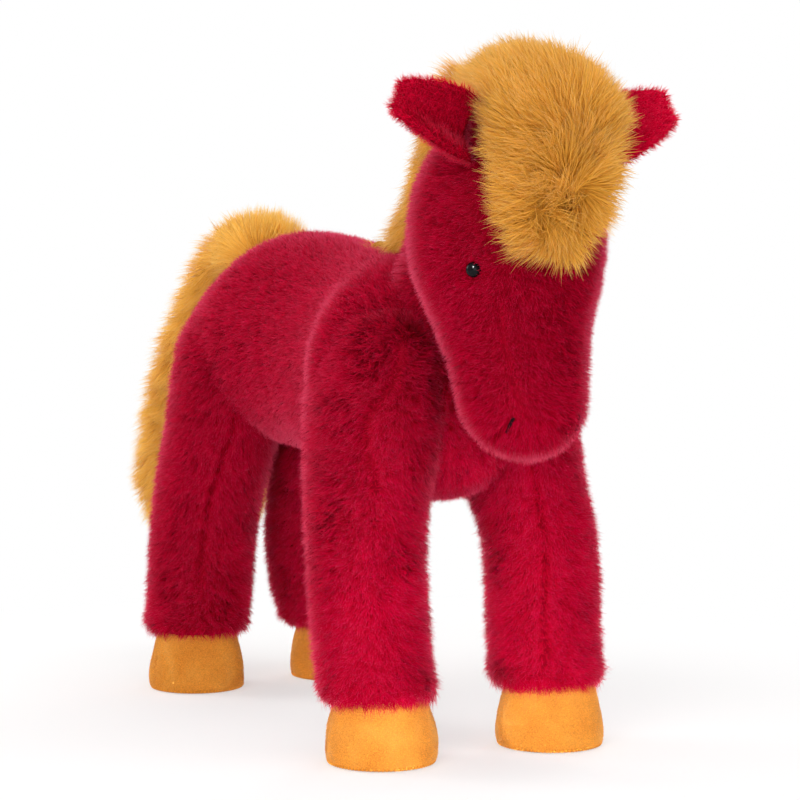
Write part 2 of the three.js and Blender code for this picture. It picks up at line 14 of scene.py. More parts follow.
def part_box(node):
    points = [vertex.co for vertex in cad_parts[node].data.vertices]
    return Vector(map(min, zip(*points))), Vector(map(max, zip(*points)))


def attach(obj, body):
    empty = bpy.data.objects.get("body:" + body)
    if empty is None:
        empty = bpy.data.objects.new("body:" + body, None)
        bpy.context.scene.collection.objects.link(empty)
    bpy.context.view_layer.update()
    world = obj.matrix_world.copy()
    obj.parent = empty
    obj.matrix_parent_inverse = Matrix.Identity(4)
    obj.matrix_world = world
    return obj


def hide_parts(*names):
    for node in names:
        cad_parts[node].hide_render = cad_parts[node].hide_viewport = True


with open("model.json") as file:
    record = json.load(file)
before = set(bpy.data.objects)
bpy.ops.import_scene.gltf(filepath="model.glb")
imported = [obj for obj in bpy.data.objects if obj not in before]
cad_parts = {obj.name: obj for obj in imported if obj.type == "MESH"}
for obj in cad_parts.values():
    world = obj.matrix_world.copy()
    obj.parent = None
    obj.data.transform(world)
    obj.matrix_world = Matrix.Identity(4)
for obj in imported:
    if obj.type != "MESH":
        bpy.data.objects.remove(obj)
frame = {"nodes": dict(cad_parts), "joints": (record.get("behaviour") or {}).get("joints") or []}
scene = bpy.context.scene
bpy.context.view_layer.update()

MM = 0.001
SIDES = (("right", 1), ("left", -1))
HOOVES = ("front_right", "front_left", "hind_right", "hind_left")


def box_mm(node):
    low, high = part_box(node)
    return np.array(low) / MM, np.array(high) / MM


# The horse's own frame: y is 0 midway between the front and the hind hooves, and z is 0 on the ground

front_low, front_high = box_mm("hoof_sole_front_right")
hind_low, hind_high = box_mm("hoof_sole_hind_right")
OFFSET = np.array([0, (front_low[1] + front_high[1] + hind_low[1] + hind_high[1]) / 4, 0])


def unit(a):
    return a / np.maximum(np.linalg.norm(a, axis=-1, keepdims=True), 1e-9)


# Smooth lines and closed cushions


def curve_at(points, shares):
    """Points of a uniform Catmull-Rom line through rows of numbers, at shares from 0 to 1."""
    p = np.asarray(points, float)
    ends = np.vstack([2 * p[0] - p[1], p, 2 * p[-1] - p[-2]])
    place = np.clip(np.asarray(shares, float), 0, 1) * (len(p) - 1)
    k = np.minimum(place.astype(int), len(p) - 2)
    w = (place - k)[:, None]
    a, b, c, d = ends[k], ends[k + 1], ends[k + 2], ends[k + 3]
    v0, v1 = (c - a) / 2, (d - b) / 2
    return (2 * b - 2 * c + v0 + v1) * w**3 + (-3 * b + 3 * c - 2 * v0 - v1) * w**2 + v0 * w + b


def ring_quads(rings, sides):
    """The faces of a closed tube whose points run round one ring after the other."""
    start, s = np.arange(rings)[:, None] * sides, np.arange(sides)
    low, beside = start + s, start + (s + 1) % sides
    return np.stack([low, beside, beside + sides, low + sides], -1).reshape(-1, 4)


LINE_STEPS = 801
RELAX_BACK = 1.02


class Cushion:
    """A closed body of oval rings along a line, with its triangles and normals."""

    def __init__(self, places, swells, rings, sides, direction=None, grow=0):
        dense = np.linspace(0, 1, LINE_STEPS)
        line, girth = curve_at(places, dense), np.maximum(curve_at(swells, dense), 0)
        run = np.hypot(*(np.linalg.norm(np.diff(rows, axis=0), axis=1) for rows in (line, girth)))
        along = np.concatenate([[0], np.cumsum(run)])
        shares = np.interp(np.linspace(0, along[-1], rings + 1), along, dense)
        centre, swell = curve_at(places, shares), np.maximum(curve_at(swells, shares), 0)
        tangent = unit(np.gradient(centre, axis=0))
        if direction:
            tangent = np.tile(np.array(direction, float), (rings + 1, 1))
        across = unit(np.array([1, 0, 0]) - tangent * tangent[:, :1])
        up = np.cross(tangent, across)
        angle = np.linspace(0, 2 * math.pi, sides, endpoint=False)
        wide = (swell[:, :1, None] * np.cos(angle)[None, :, None]) * across[:, None, :]
        deep = (swell[:, 1:2, None] * np.sin(angle)[None, :, None]) * up[:, None, :]
        grid = centre[:, None, :] + wide + deep
        caps_and_painted_sheen = [grid[0].mean(0), grid[-1].mean(0)]
        self.verts = np.vstack([grid.reshape(-1, 3), caps_and_painted_sheen])
        quads = ring_quads(rings, sides)
        first, last = (rings + 1) * sides, (rings + 1) * sides + 1
        s = np.arange(sides)
        start = np.stack([np.full(sides, first), (s + 1) % sides, s], -1)
        stop = np.stack([np.full(sides, last), rings * sides + s, rings * sides + (s + 1) % sides], -1)
        self.tris = np.vstack([quads[:, [0, 1, 2]], quads[:, [0, 2, 3]], start, stop])
        if np.dot(np.cross(across[0], up[0]), tangent[0]) < 0:
            self.tris = self.tris[:, ::-1]
        self.normals = self.vertex_normals()
        if grow:
            self.verts = self.verts + grow * self.normals

    def vertex_normals(self):
        a, b, c = (self.verts[self.tris[:, k]] for k in range(3))
        faces = np.cross(b - a, c - a)
        total = np.zeros_like(self.verts)
        for k in range(3):
            np.add.at(total, self.tris[:, k], faces)
        return unit(total)

    def relax(self, times, hold=0.5):
        """Evens out the surface without shrinking it much: each step in is followed by one out."""
        edges = np.vstack([self.tris[:, [0, 1]], self.tris[:, [1, 2]], self.tris[:, [2, 0]]])
        count = np.zeros(len(self.verts))
        np.add.at(count, edges[:, 0], 1)
        for step in range(2 * times):
            total = np.zeros_like(self.verts)
            np.add.at(total, edges[:, 0], self.verts[edges[:, 1]])
            mean = total / np.maximum(count, 1)[:, None]
            self.verts = self.verts + (hold if step % 2 == 0 else -hold * RELAX_BACK) * (mean - self.verts)
        self.normals = self.vertex_normals()

    def mirrored(self):
        other = object.__new__(Cushion)
        other.verts = self.verts * [-1, 1, 1]
        other.normals = self.normals * [-1, 1, 1]
        other.tris = self.tris[:, ::-1]
        return other

    def tree(self):
        return BVHTree.FromPolygons(self.verts.tolist(), self.tris.tolist())


class Patch(Cushion):
    """A body of faces with four corners that are given as they are."""

    def __init__(self, verts, quads):
        self.verts = verts
        self.tris = np.vstack([quads[:, [0, 1, 2]], quads[:, [0, 2, 3]]])
        self.normals = self.vertex_normals()


OCTAVES, WAVES, FINER = 3, 5, 1.7
WAVE_SPREAD, WAVE_START, NOISE_LEVEL = (0.7, 1.3), (0, 6.28), 3.2


def noise(points, scale, seed):
    """A smooth wandering number about zero at each point, from a few crossed waves."""
    r = np.random.default_rng(seed)
    total = np.zeros(len(points))
    for k in range(OCTAVES):
        for _ in range(WAVES):
            wave = unit(r.normal(size=3)) * 2 * math.pi / (scale / FINER**k) * r.uniform(*WAVE_SPREAD)
            total += np.sin(points @ wave + r.uniform(*WAVE_START)) / FINER**k
    return total / NOISE_LEVEL


class Seam:
    """A line in the cloth along which the pile parts and is shorter."""

    def __init__(self, points, reach, short):
        points = np.asarray(points, float)
        steps = max(2, int(np.linalg.norm(np.diff(points, axis=0), axis=1).sum()))
        self.points = curve_at(points, np.linspace(0, 1, steps))
        self.reach, self.short = reach, short
        self.near = KDTree(len(self.points))
        for k, p in enumerate(self.points):
            self.near.insert(p, k)
        self.near.balance()

    def beside(self, roots):
        """How close each root is to the line, 1 on it and 0 away from it, and the way off it."""
        low, high = self.points.min(0) - 3 * self.reach, self.points.max(0) + 3 * self.reach
        found, away = np.zeros(len(roots)), np.zeros_like(roots)
        for i in np.flatnonzero(((roots > low) & (roots < high)).all(1)):
            place, _, gap = self.near.find(roots[i])
            found[i] = math.exp(-((gap / self.reach) ** 2))
            away[i] = roots[i] - place
        return found, unit(away)


# The forms' tables. A row of the torso or the head is a place along it, its two half widths and how far
# its middle is set off, as shares of the form's sizes.

CLEAR = 0.3
HOOF_TOP = 32.5 + CLEAR
TORSO = dict(length=280, width=126, depth=116, height=186.5, front=-129)
TORSO_SHARES = [
    [0, 0, 0, -0.12], [0.03, 0.5, 0.56, -0.12], [0.1, 0.84, 0.88, -0.1], [0.19, 0.98, 0.98, -0.075],
    [0.29, 0.8, 0.98, -0.05], [0.42, 0.74, 0.97, -0.02], [0.56, 0.76, 0.95, 0.04], [0.7, 0.85, 0.93, 0.06],
    [0.82, 0.82, 0.76, 0.015], [0.9, 0.68, 0.58, -0.01], [0.97, 0.38, 0.35, -0.03], [1, 0, 0, -0.04],
]
NECK_BASE, NECK_TOP = np.array([0, -96, 202.5]), np.array([0, -136, 282.5])
NECK_HALF = [25, 30]
NECK_SWELLS = [[1.3, 1.2], [1.12, 1.08], [1, 1], [0.92, 0.9], [0.72, 0.66]]
HEAD = dict(length=161, width=86, depth=86, y=-150, chin=143.5, crown=304.5)
HEAD_SHARES = [
    [0, 0, 0, 0.2], [0.035, 0.38, 0.34, 0.2], [0.12, 0.63, 0.58, 0.18], [0.24, 0.7, 0.66, 0.14],
    [0.38, 0.8, 0.82, 0.06], [0.54, 0.99, 1, 0.01], [0.7, 1, 1, 0], [0.84, 0.86, 0.84, 0.04],
    [0.96, 0.48, 0.46, 0.08], [1, 0, 0, 0.08],
]

# A leg's row, from the hoof's top up: a place along it, how far it has swelled from LEG_WIDTH to its own
# width, and its shares of the rake and the lean. Above LEG_CLOSES it closes: the swell starts from nothing.

FRONT_LEG = dict(
    length=180, stance=92, y=-114, rake=26, lean=12, wide=54, deep=80,
    shares=[
        [0, 0, 0.14, 0], [0.13, 0, 0.3, -0.1], [0.36, 0.05, 0.48, -0.12], [0.5, 0.35, 0.74, 0.2],
        [0.63, 0.85, 0.94, 0.67], [0.77, 1, 1, 0.95], [0.94, 0.74, 1.02, 1.35], [1, 0, 1, 1.5],
    ],
)
HIND_LEG = dict(
    length=178, stance=86, y=114, rake=-20, lean=10, wide=52, deep=66,
    shares=[
        [0, 0.2, -0.2, 0.15], [0.1, 0.35, -0.4, 0.5], [0.24, 0.45, -0.48, 0.75], [0.36, 0.55, -0.3, 0.82],
        [0.46, 0.8, 0, 0.9], [0.56, 1, 0.4, 0.97], [0.68, 1.15, 0.9, 1], [0.82, 1.1, 1.15, 1.15],
        [0.93, 0.9, 1.2, 1.5], [1.04, 0, 1.2, 1.9],
    ],
)
LEG_WIDTH = 48
LEG_CLOSES = 0.9
PILE_SINK, LEG_SINK = 1.6, 0.9


def middle_cushion(form, rows, y, z, **kw):
    """A cushion whose line runs through y and z in the middle plane."""
    swells = rows[:, 1:3] * [form["width"] / 2, form["depth"] / 2]
    return Cushion(np.stack([np.zeros(len(rows)), y, z], -1), swells, **kw)


def torso_cushion():
    t, rows = TORSO, np.array(TORSO_SHARES)
    y, z = t["front"] + rows[:, 0] * t["length"], t["height"] + rows[:, 3] * t["depth"]
    return middle_cushion(t, rows, y, z, rings=110, sides=96, direction=(0, 1, 0))


def neck_cushion():
    steps = np.linspace(0, 1, len(NECK_SWELLS))[:, None]
    places = NECK_BASE * (1 - steps) + NECK_TOP * steps
    return Cushion(places, np.array(NECK_SWELLS) * NECK_HALF, rings=40, sides=72)


def head_cushion():
    h, rows = HEAD, np.array(HEAD_SHARES)
    y, z = h["y"] - rows[:, 3] * h["depth"], h["chin"] + rows[:, 0] * h["length"]
    return middle_cushion(h, rows, y, z, rings=90, sides=84, direction=(0, 0, 1))


def leg_cushion(leg):
    shares = np.array(leg["shares"])
    places = np.stack([
        -leg["stance"] / 2 + shares[:, 3] * leg["lean"], leg["y"] + shares[:, 2] * leg["rake"],
        HOOF_TOP + shares[:, 0] * leg["length"],
    ], -1)
    closing = shares[:, 0] > LEG_CLOSES
    swells = np.stack([
        np.where(closing, shares[:, 1] * top, LEG_WIDTH + shares[:, 1] * (top - LEG_WIDTH)) / 2
        for top in (leg["wide"], leg["deep"])
    ], -1)
    return Cushion(places, swells, rings=90, sides=72, direction=(0, 0, 1))


torso, neck, head = torso_cushion(), neck_cushion(), head_cushion()
front_right, hind_right = leg_cushion(FRONT_LEG), leg_cushion(HIND_LEG)
for form, times, sink in (
    (torso, 6, PILE_SINK), (neck, 0, PILE_SINK), (head, 5, PILE_SINK), (front_right, 5, LEG_SINK),
    (hind_right, 5, LEG_SINK),
):
    form.relax(times)
    form.verts = form.verts - sink * form.normals
cushions = {
    "torso": torso, "neck": neck, "head": head,
    "leg_front_right": front_right, "leg_front_left": front_right.mirrored(),
    "leg_hind_right": hind_right, "leg_hind_left": hind_right.mirrored(),
}

# The tufts' tables: places as shares of each one's reach, the dock's as y and z, and shares of its width

CREST_RISE, CREST_REACH, FORELOCK_REACH, TAIL_REACH, TAIL_LENGTH = 30, 60, 86, 72, 156.5
CREST = [[-0.62, 1.02], [-0.2, 0.6], [0.3, 0.47], [0.64, 0.5], [1, 0.5], [1.3, 0.44]]
MANE_SWELLS = [[0, 0], [0.7, 0.7], [0.95, 0.95], [1, 1], [1.1, 1], [1.1, 0.8]]
FORELOCK = [
    [0.3, -0.12], [0.16, 0.04], [-0.16, 0.08], [-0.46, -0.06], [-0.56, -0.34], [-0.58, -0.62], [-0.6, -0.8],
]
FORELOCK_SWELLS = [[0.4, 0.5], [0.66, 0.8], [0.88, 1], [1.04, 1.04], [0.94, 0.88], [0.76, 0.68], [0.4, 0.34]]
FORELOCK_SWEEP = [3.5, 3.5, 3, 0.5, -3.5, -6.5, -7]
TAIL = [[0, 0], [0.07, -0.07], [0.33, 0.06], [0.66, 0.36], [0.94, 0.7], [1.04, 0.93], [1.05, 1]]
TAIL_SWELLS = [[0.2, 0.3], [0.48, 0.4], [0.68, 0.58], [0.9, 0.82], [1, 1], [0.84, 0.86], [0.34, 0.34]]
DOCK = [(88, 222), (98, 232), (110, 237), (124, 238.5), (134, 237), (140, 231)]
DOCK_SWELLS = [[0.5, 0.5], [0.85, 0.8], [1, 1], [1, 1], [0.85, 0.95], [0.4, 0.5]]


def tuft_cushion(points, swells, width, thickness, grow=0, sweep=None):
    places = [[x, y, z] for x, (y, z) in zip(sweep or [0] * len(points), points)]
    return Cushion(places, np.array(swells) * [width / 2, thickness / 2], rings=60, sides=56, grow=grow)


crest_base = NECK_BASE + [0, 0, CREST_RISE]
crest_run = NECK_TOP - crest_base
crest_out = unit(np.array([0, crest_run[2], -crest_run[1]]))
crest_points = [(crest_base + a * crest_run + p * CREST_REACH * crest_out)[1:] for a, p in CREST]
forelock_points = [(HEAD["y"] + b * FORELOCK_REACH, HEAD["crown"] + r * FORELOCK_REACH) for b, r in FORELOCK]
hinges = {joint["child"]: np.array(joint["pos_m"]) / MM - OFFSET for joint in frame["joints"]}
tail_hinge = hinges["tail"]
tail_points = [(tail_hinge[1] + b * TAIL_REACH, tail_hinge[2] - d * TAIL_LENGTH) for b, d in TAIL]

mane = tuft_cushion(crest_points, MANE_SWELLS, 28, 32, grow=-5)
forelock = tuft_cushion(forelock_points, FORELOCK_SWELLS, 64, 38, grow=-7.5, sweep=FORELOCK_SWEEP)
tail = tuft_cushion(tail_points, TAIL_SWELLS, 76, 50, grow=-6)
dock = tuft_cushion(DOCK, DOCK_SWELLS, 26, 24)


# Materials

# The third and fourth numbers are the facing angles over which the pile's painted sheen comes in.
SHEEN_ROUGH, LIGHT_THROUGH, PAINTED_SHEEN_FROM, PAINTED_SHEEN_FULL, LOOPS = 0.4, 0.35, 0.4, 0.88, 900


def material(name, colour, build, rough, specular=0.5, sheen=0, tint=(1, 1, 1)):
    m = bpy.data.materials.new(name)
    m.use_nodes = True
    nodes = m.node_tree.nodes
    shader = nodes["Principled BSDF"]
    values = {"Base Color": (*colour, 1), "Roughness": rough, "Specular IOR Level": specular}
    if sheen:
        values |= {"Sheen Weight": sheen, "Sheen Roughness": SHEEN_ROUGH, "Sheen Tint": (*tint, 1)}
    for socket, value in values.items():
        shader.inputs[socket].default_value = value
    build(nodes, shader)
    return m


def link(source, socket):
    socket.id_data.links.new(source, socket)


def node(nodes, kind, **values):
    n = nodes.new(f"ShaderNode{kind}")
    for key, value in values.items():
        if hasattr(n, key):
            setattr(n, key, value)
        else:
            n.inputs[key].default_value = value
    return n


def ramp(nodes, source, stops):
    n = node(nodes, "ValToRGB")
    for k, (at, colour) in enumerate(stops):
        e = n.color_ramp.elements[k] if k < 2 else n.color_ramp.elements.new(at)
        e.position = at
        e.color = (*colour, 1)
    link(source, n.inputs[0])
    return n.outputs[0]


def linear(r, g, b):
    """The light of a colour that is written from 0 to 255, by the sRGB curve."""
    return tuple(((c / 255 + 0.055) / 1.055) ** 2.4 if c > 10 else c / 255 / 12.92 for c in (r, g, b))


def tones(*stops):
    """Stops of a ramp whose colours are written from 0 to 255."""
    return [(at, linear(*colour)) for at, colour in stops]


def product(nodes, a, b):
    """Two colours multiplied."""
    mix = node(nodes, "Mix", data_type="RGBA", blend_type="MULTIPLY", Factor=1)
    link(a, mix.inputs["A"])
    link(b, mix.inputs["B"])
    return mix.outputs["Result"]


def in_place(nodes, *textures):
    """Lays textures out in the object's own coordinates."""
    place = node(nodes, "TexCoord")
    for n in textures:
        link(place.outputs["Object"], n.inputs["Vector"])


def add_bump(nodes, shader, height, strength, distance):
    bump = node(nodes, "Bump", Strength=strength, Distance=distance)
    link(height, bump.inputs["Height"])
    link(bump.outputs[0], shader.inputs["Normal"])


def strand_material(name, stops, shades, sheen, tint, painted_sheen):
    """Pile: the colour runs from a root darkened as painted shade to its tip, each strand has its own shade,
    light comes through, and where the pile is seen from its side a painted sheen pales it."""

    def build(nodes, shader):
        uv = node(nodes, "UVMap")
        uv.uv_map = "OFBake"
        split = node(nodes, "SeparateXYZ")
        link(uv.outputs[0], split.inputs[0])
        along = ramp(nodes, split.outputs[1], stops)
        own = product(nodes, along, ramp(nodes, split.outputs[0], shades))
        # Painted sheen: by the facing angle alone, the base colour is mixed towards a pale colour where the
        # pile is seen from its side.
        aside = node(nodes, "LayerWeight", Blend=0.5)
        most = node(
            nodes, "MapRange", interpolation_type="SMOOTHSTEP",
            **{"From Min": PAINTED_SHEEN_FROM, "From Max": PAINTED_SHEEN_FULL},
        )
        link(aside.outputs["Facing"], most.inputs["Value"])
        caps_and_painted_sheen = node(nodes, "Mix", data_type="RGBA", B=(*painted_sheen, 1))
        link(most.outputs[0], caps_and_painted_sheen.inputs["Factor"])
        link(own, caps_and_painted_sheen.inputs["A"])
        link(caps_and_painted_sheen.outputs["Result"], shader.inputs["Base Color"])
        back = node(nodes, "BsdfTranslucent")
        link(own, back.inputs["Color"])
        both = node(nodes, "MixShader", Fac=LIGHT_THROUGH)
        link(shader.outputs[0], both.inputs[1])
        link(back.outputs[0], both.inputs[2])
        link(both.outputs[0], nodes["Material Output"].inputs["Surface"])

    return material(name, (0.5, 0.5, 0.5), build, rough=0.6, specular=0.01, sheen=sheen, tint=tint)


def cloth_material(name, dark, pale):
    """Knitted backing cloth: fine loops and clouds of a darker and a paler tone."""

    def build(nodes, shader):
        loops = node(nodes, "TexVoronoi", Scale=LOOPS)
        cloud = node(nodes, "TexNoise", Scale=LOOPS / 12, Detail=4)
        in_place(nodes, loops, cloud)
        tone = ramp(nodes, cloud.outputs["Fac"], [(0.3, dark), (0.7, pale)])
        link(tone, shader.inputs["Base Color"])
        add_bump(nodes, shader, loops.outputs["Distance"], strength=0.4, distance=0.0004)

    return material(name, pale, build, rough=0.95, specular=0.02)


def suede_material():
    """Brushed suede: a fine nap over wide patches that lie one way or the other."""

    def build(nodes, shader):
        nap = node(nodes, "TexNoise", Scale=1400, Detail=3, Roughness=0.7)
        brushed = node(nodes, "TexNoise", Scale=45, Detail=3, Distortion=0.8)
        in_place(nodes, nap, brushed)
        wide = ramp(nodes, brushed.outputs["Fac"], SUEDE)
        fine = ramp(nodes, nap.outputs["Fac"], SUEDE_SHADES)
        link(product(nodes, wide, fine), shader.inputs["Base Color"])
        add_bump(nodes, shader, nap.outputs["Fac"], strength=0.35, distance=0.0003)

    return material(
        "suede", linear(250, 164, 48), build, rough=0.9, specular=0.05, sheen=0.3, tint=(1, 0.82, 0.5),
    )


def gloss_material():
    """Black plastic with a faint haze in its gloss."""

    def build(nodes, shader):
        haze = node(nodes, "TexNoise", Scale=300, Detail=2)
        in_place(nodes, haze)
        rough = node(nodes, "MapRange", **{"To Min": 0.04, "To Max": 0.12})
        link(haze.outputs["Fac"], rough.inputs["Value"])
        link(rough.outputs[0], shader.inputs["Roughness"])

    return material("bead", (0.004, 0.004, 0.005), build, rough=0.08, specular=0.1)


def thread_material(name, colour):
    """Twisted thread: darker between its turns, as painted shade in the grooves."""

    def build(nodes, shader):
        twist = node(nodes, "TexWave", Scale=900, Distortion=1.5)
        in_place(nodes, twist)
        # The darker turns are painted shade in the grooves of the twist.
        dark = tuple(c * 0.8 for c in colour)
        tone = ramp(nodes, twist.outputs["Fac"], [(0.2, dark), (0.8, colour)])
        link(tone, shader.inputs["Base Color"])
        add_bump(nodes, shader, twist.outputs["Fac"], strength=0.5, distance=0.0002)

    return material(name, colour, build, rough=0.8, specular=0.05)


# Colours from a strand's root to its tip, and the shades that strands differ by. Each ramp is darker towards
# the root as painted shade deep in the pile, and the red's pale pink tip is partly its own colour and partly
# painted sheen.

RED = tones((0, (132, 0, 22)), (0.4, (190, 0, 40)), (0.8, (210, 2, 54)), (1, (246, 72, 116)))
RED_SHADES = [
    (0, (0.66, 0.62, 0.62)), (0.4, (0.92, 0.9, 0.9)), (0.8, (1.05, 1.1, 1.08)), (1, (1.16, 2.6, 1.9)),
]
# The ears' shades are the red's made brighter: painted light for ears that sit in shade.
EAR_PAINTED_LIGHT_SHADES = [
    (0, (0.95, 0.9, 0.9)), (0.4, (1.25, 1.25, 1.25)), (0.8, (1.4, 1.6, 1.5)), (1, (1.5, 3.2, 2.2)),
]
# The red pile's sheen lobe, and the pale pink of its painted sheen where it is seen from its side.
RED_SHEEN = dict(sheen=0.2, tint=(1, 0.15, 0.27), painted_sheen=linear(246, 90, 124))
GOLD = tones((0, (206, 146, 54)), (0.35, (222, 162, 60)), (0.8, (230, 176, 78)), (1, (242, 208, 136)))
GOLD_SHADES = [
    (0, (0.7, 0.66, 0.54)), (0.4, (1.04, 1.02, 0.95)), (0.75, (1.17, 1.17, 1.12)), (1, (1.28, 1.34, 1.5)),
]
# The tail's gold is the gold made brighter: painted light for a tail that gets less light.
TAIL_GOLD_PAINTED_LIGHTER = tones((0, (224, 160, 60)), (0.35, (240, 178, 70)), (0.8, (246, 190, 88)), (1, (250, 216, 142)))
TAIL_SHADES = [
    (0, (0.8, 0.8, 0.72)), (0.4, (1.04, 1.1, 1.05)), (0.75, (1.14, 1.26, 1.3)), (1, (1.2, 1.42, 1.7)),
]
GOLD_SHEEN = dict(sheen=0.2, tint=(1, 0.85, 0.6))
SUEDE = tones((0.3, (206, 129, 44)), (0.55, (216, 146, 57)), (0.75, (224, 160, 74)))
SUEDE_SHADES = [(0.35, (0.74, 0.7, 0.62)), (0.62, (1, 1, 1))]
NAP = tones((0, (220, 136, 40)), (0.5, (240, 162, 56)), (1, (250, 188, 92)))
NAP_SHADES = [(0, (0.74, 0.7, 0.6)), (0.5, (0.96, 0.94, 0.9)), (1, (1.06, 1.1, 1.16))]

# The pale colour that each pile is given for where it is seen from its side is a painted sheen.
red_pile = strand_material("red_pile", RED, RED_SHADES, **RED_SHEEN)
# The ears' pile is the red pile painted lighter, as painted light for the ears.
ear_pile = strand_material("ear_pile", RED, EAR_PAINTED_LIGHT_SHADES, **RED_SHEEN)
gold_pile = strand_material("gold_pile", GOLD, GOLD_SHADES, painted_sheen=linear(240, 196, 112), **GOLD_SHEEN)
# The tail's and the dock's pile has the brighter gold: painted light.
tail_pile = strand_material("tail_pile", TAIL_GOLD_PAINTED_LIGHTER, TAIL_SHADES, painted_sheen=linear(250, 208, 120), **GOLD_SHEEN)
red_cloth = cloth_material("red_cloth", linear(128, 0, 22), linear(164, 0, 34))
gold_cloth = cloth_material("gold_cloth", linear(170, 116, 40), linear(204, 146, 54))
suede = suede_material()
suede_nap = strand_material(
    "suede_nap", NAP, NAP_SHADES, sheen=0.3, tint=(1, 0.8, 0.45), painted_sheen=linear(248, 186, 88),
)
bead = gloss_material()
dark_thread = thread_material("dark_thread", linear(34, 2, 10))
gold_thread = thread_material("gold_thread", linear(236, 158, 54))


# Pieces


def to_row(points):
    """Points of the horse's own frame, in metres and in the frame that all pieces share."""
    return (np.asarray(points, float) + OFFSET) * MM


def add(name, data):
    obj = bpy.data.objects.new(name, data)
    scene.collection.objects.link(obj)
    return obj


def add_piece(name, mesh, mat, body):
    mesh.materials.append(mat)
    obj = add(name, mesh)
    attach(obj, body)
    return obj


def piece(name, verts, faces, mat, body):
    mesh = bpy.data.meshes.new(name)
    mesh.from_pydata(to_row(verts).tolist(), [], faces.tolist())
    mesh.update()
    mesh.polygons.foreach_set("use_smooth", np.ones(len(mesh.polygons), bool))
    return add_piece(name, mesh, mat, body)


def cushion_piece(name, cushion, mat, body, nodes):
    obj = piece(name, cushion.verts, cushion.tris, mat, body)
    if nodes:
        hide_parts(*nodes)
    return obj


def roots_on(cushion, density, seed):
    """Random places on a surface, with its normals there."""
    r = np.random.default_rng(seed)
    a, b, c = (cushion.verts[cushion.tris[:, k]] for k in range(3))
    area = np.linalg.norm(np.cross(b - a, c - a), axis=1) / 2
    count = int(area.sum() * density)
    pick = np.searchsorted(np.cumsum(area) / area.sum(), r.random(count)).clip(0, len(area) - 1)
    u, v = r.random(count), r.random(count)
    flip = u + v > 1
    u[flip], v[flip] = 1 - u[flip], 1 - v[flip]
    w = np.stack([1 - u - v, u, v], -1)[:, :, None]
    tri = cushion.tris[pick]
    return (cushion.verts[tri] * w).sum(1), unit((cushion.normals[tri] * w).sum(1))


def inside(points, cushion, depth):
    """True for the points that lie more than depth inside a closed cushion."""
    low, high = cushion.verts.min(0) + depth, cushion.verts.max(0) - depth
    near = np.flatnonzero(((points > low) & (points < high)).all(1))
    found = np.zeros(len(points), bool)
    tree = cushion.tree()
    for i in near:
        place, normal, _, _ = tree.find_nearest(points[i])
        found[i] = np.dot(np.array(place) - points[i], np.array(normal)) > depth
    return found


# Strands

LEAN_SPREAD, LEAN_WANDER = 0.14, 0.05
SEAM_PULL, SEAM_LEAN = 1.8, 0.25
BEND, CLUMP_BEND = 0.8, 1.5
PULLS, WIDTHS, ROLL = (0.4, 1), (0.7, 1.3), 0.8
TAPER = {2: [1, 0.75], 3: [0.8, 1, 0.8]}
SHADE_OF_CLUMP = 0.5
MOST_FACES = 190000


def bent(roots, normals, lay, long, lean, tilts, segments, sink):
    """The points along each strand, from just under the surface to its tip."""
    points = [roots - sink * normals]
    for k in range(segments):
        s = (k + 0.5) / segments
        angle = tilts[:, 0] + (tilts[:, 1] - tilts[:, 0]) * s**BEND + lean
        step = np.cos(angle)[:, None] * normals + np.sin(angle)[:, None] * lay
        points.append(points[-1] + (long / segments)[:, None] * step)
    return np.stack(points, 1)


def gather(points, roots, clump, r):
    """Draws each strand to the leader of its clump, most at its tip, and gives the leaders."""
    n, segments = len(roots), points.shape[1] - 1
    size, pull = clump
    leaders = r.choice(n, max(1, int(n / max(1, size))), replace=False)
    tree = KDTree(len(leaders))
    for k, i in enumerate(leaders):
        tree.insert(roots[i], k)
    tree.balance()
    own = leaders[[tree.find(p)[1] for p in roots]]
    strength = pull * r.uniform(*PULLS, n)
    for k in range(1, segments + 1):
        s = (k / segments) ** CLUMP_BEND
        points[:, k] += (points[own, k] - points[:, k]) * (strength * s)[:, None]
    return own


def ribbons(points, normals, width, upright, r):
    """A tapering ribbon along each strand: its vertices, and the normals that it is lit by."""
    n, segments = len(points), points.shape[1] - 1
    ends = np.concatenate([points[:, :1], points, points[:, -1:]], 1)
    tangent = unit(ends[:, 2:] - ends[:, :-2])
    flat = unit(np.cross(tangent, normals[:, None, :]))
    rise = np.cross(flat, tangent)
    roll = r.uniform(-ROLL, ROLL, n)[:, None, None]
    broad = np.cos(roll) * flat + np.sin(roll) * rise
    facing = np.cross(broad, tangent)
    facing *= np.sign((facing * normals[:, None, :]).sum(-1, keepdims=True) + 1e-6)
    half = (width / 2) * r.uniform(*WIDTHS, n)[:, None, None] * np.array(TAPER[segments])[None, :, None]
    left, right = points[:, :-1] - broad[:, :-1] * half, points[:, :-1] + broad[:, :-1] * half
    rows = np.stack([left, right], 2).reshape(n, segments * 2, 3)
    soft = unit(upright * normals[:, None, :] + (1 - upright) * facing)
    verts = np.concatenate([rows, points[:, -1:]], 1)
    return verts, np.concatenate([np.repeat(soft[:, :-1], 2, 1), soft[:, -1:]], 1)


def ribbon_faces(verts, normals):
    """The ribbons' triangles, turned to face away from the surface that they grow on."""
    n, per = verts.shape[:2]
    tri = []
    for a in range(0, per - 3, 2):
        tri += [[a, a + 1, a + 3], [a, a + 3, a + 2]]
    tri = np.array(tri + [[per - 3, per - 2, per - 1]])
    first = np.cross(verts[:, 1] - verts[:, 0], verts[:, 3] - verts[:, 0])
    over = (np.einsum("ij,ij->i", first, normals) < 0)[:, None, None]
    base = (np.arange(n) * per)[:, None, None]
    return (base + np.where(over, tri[None, :, ::-1], tri[None])).reshape(-1, 3)


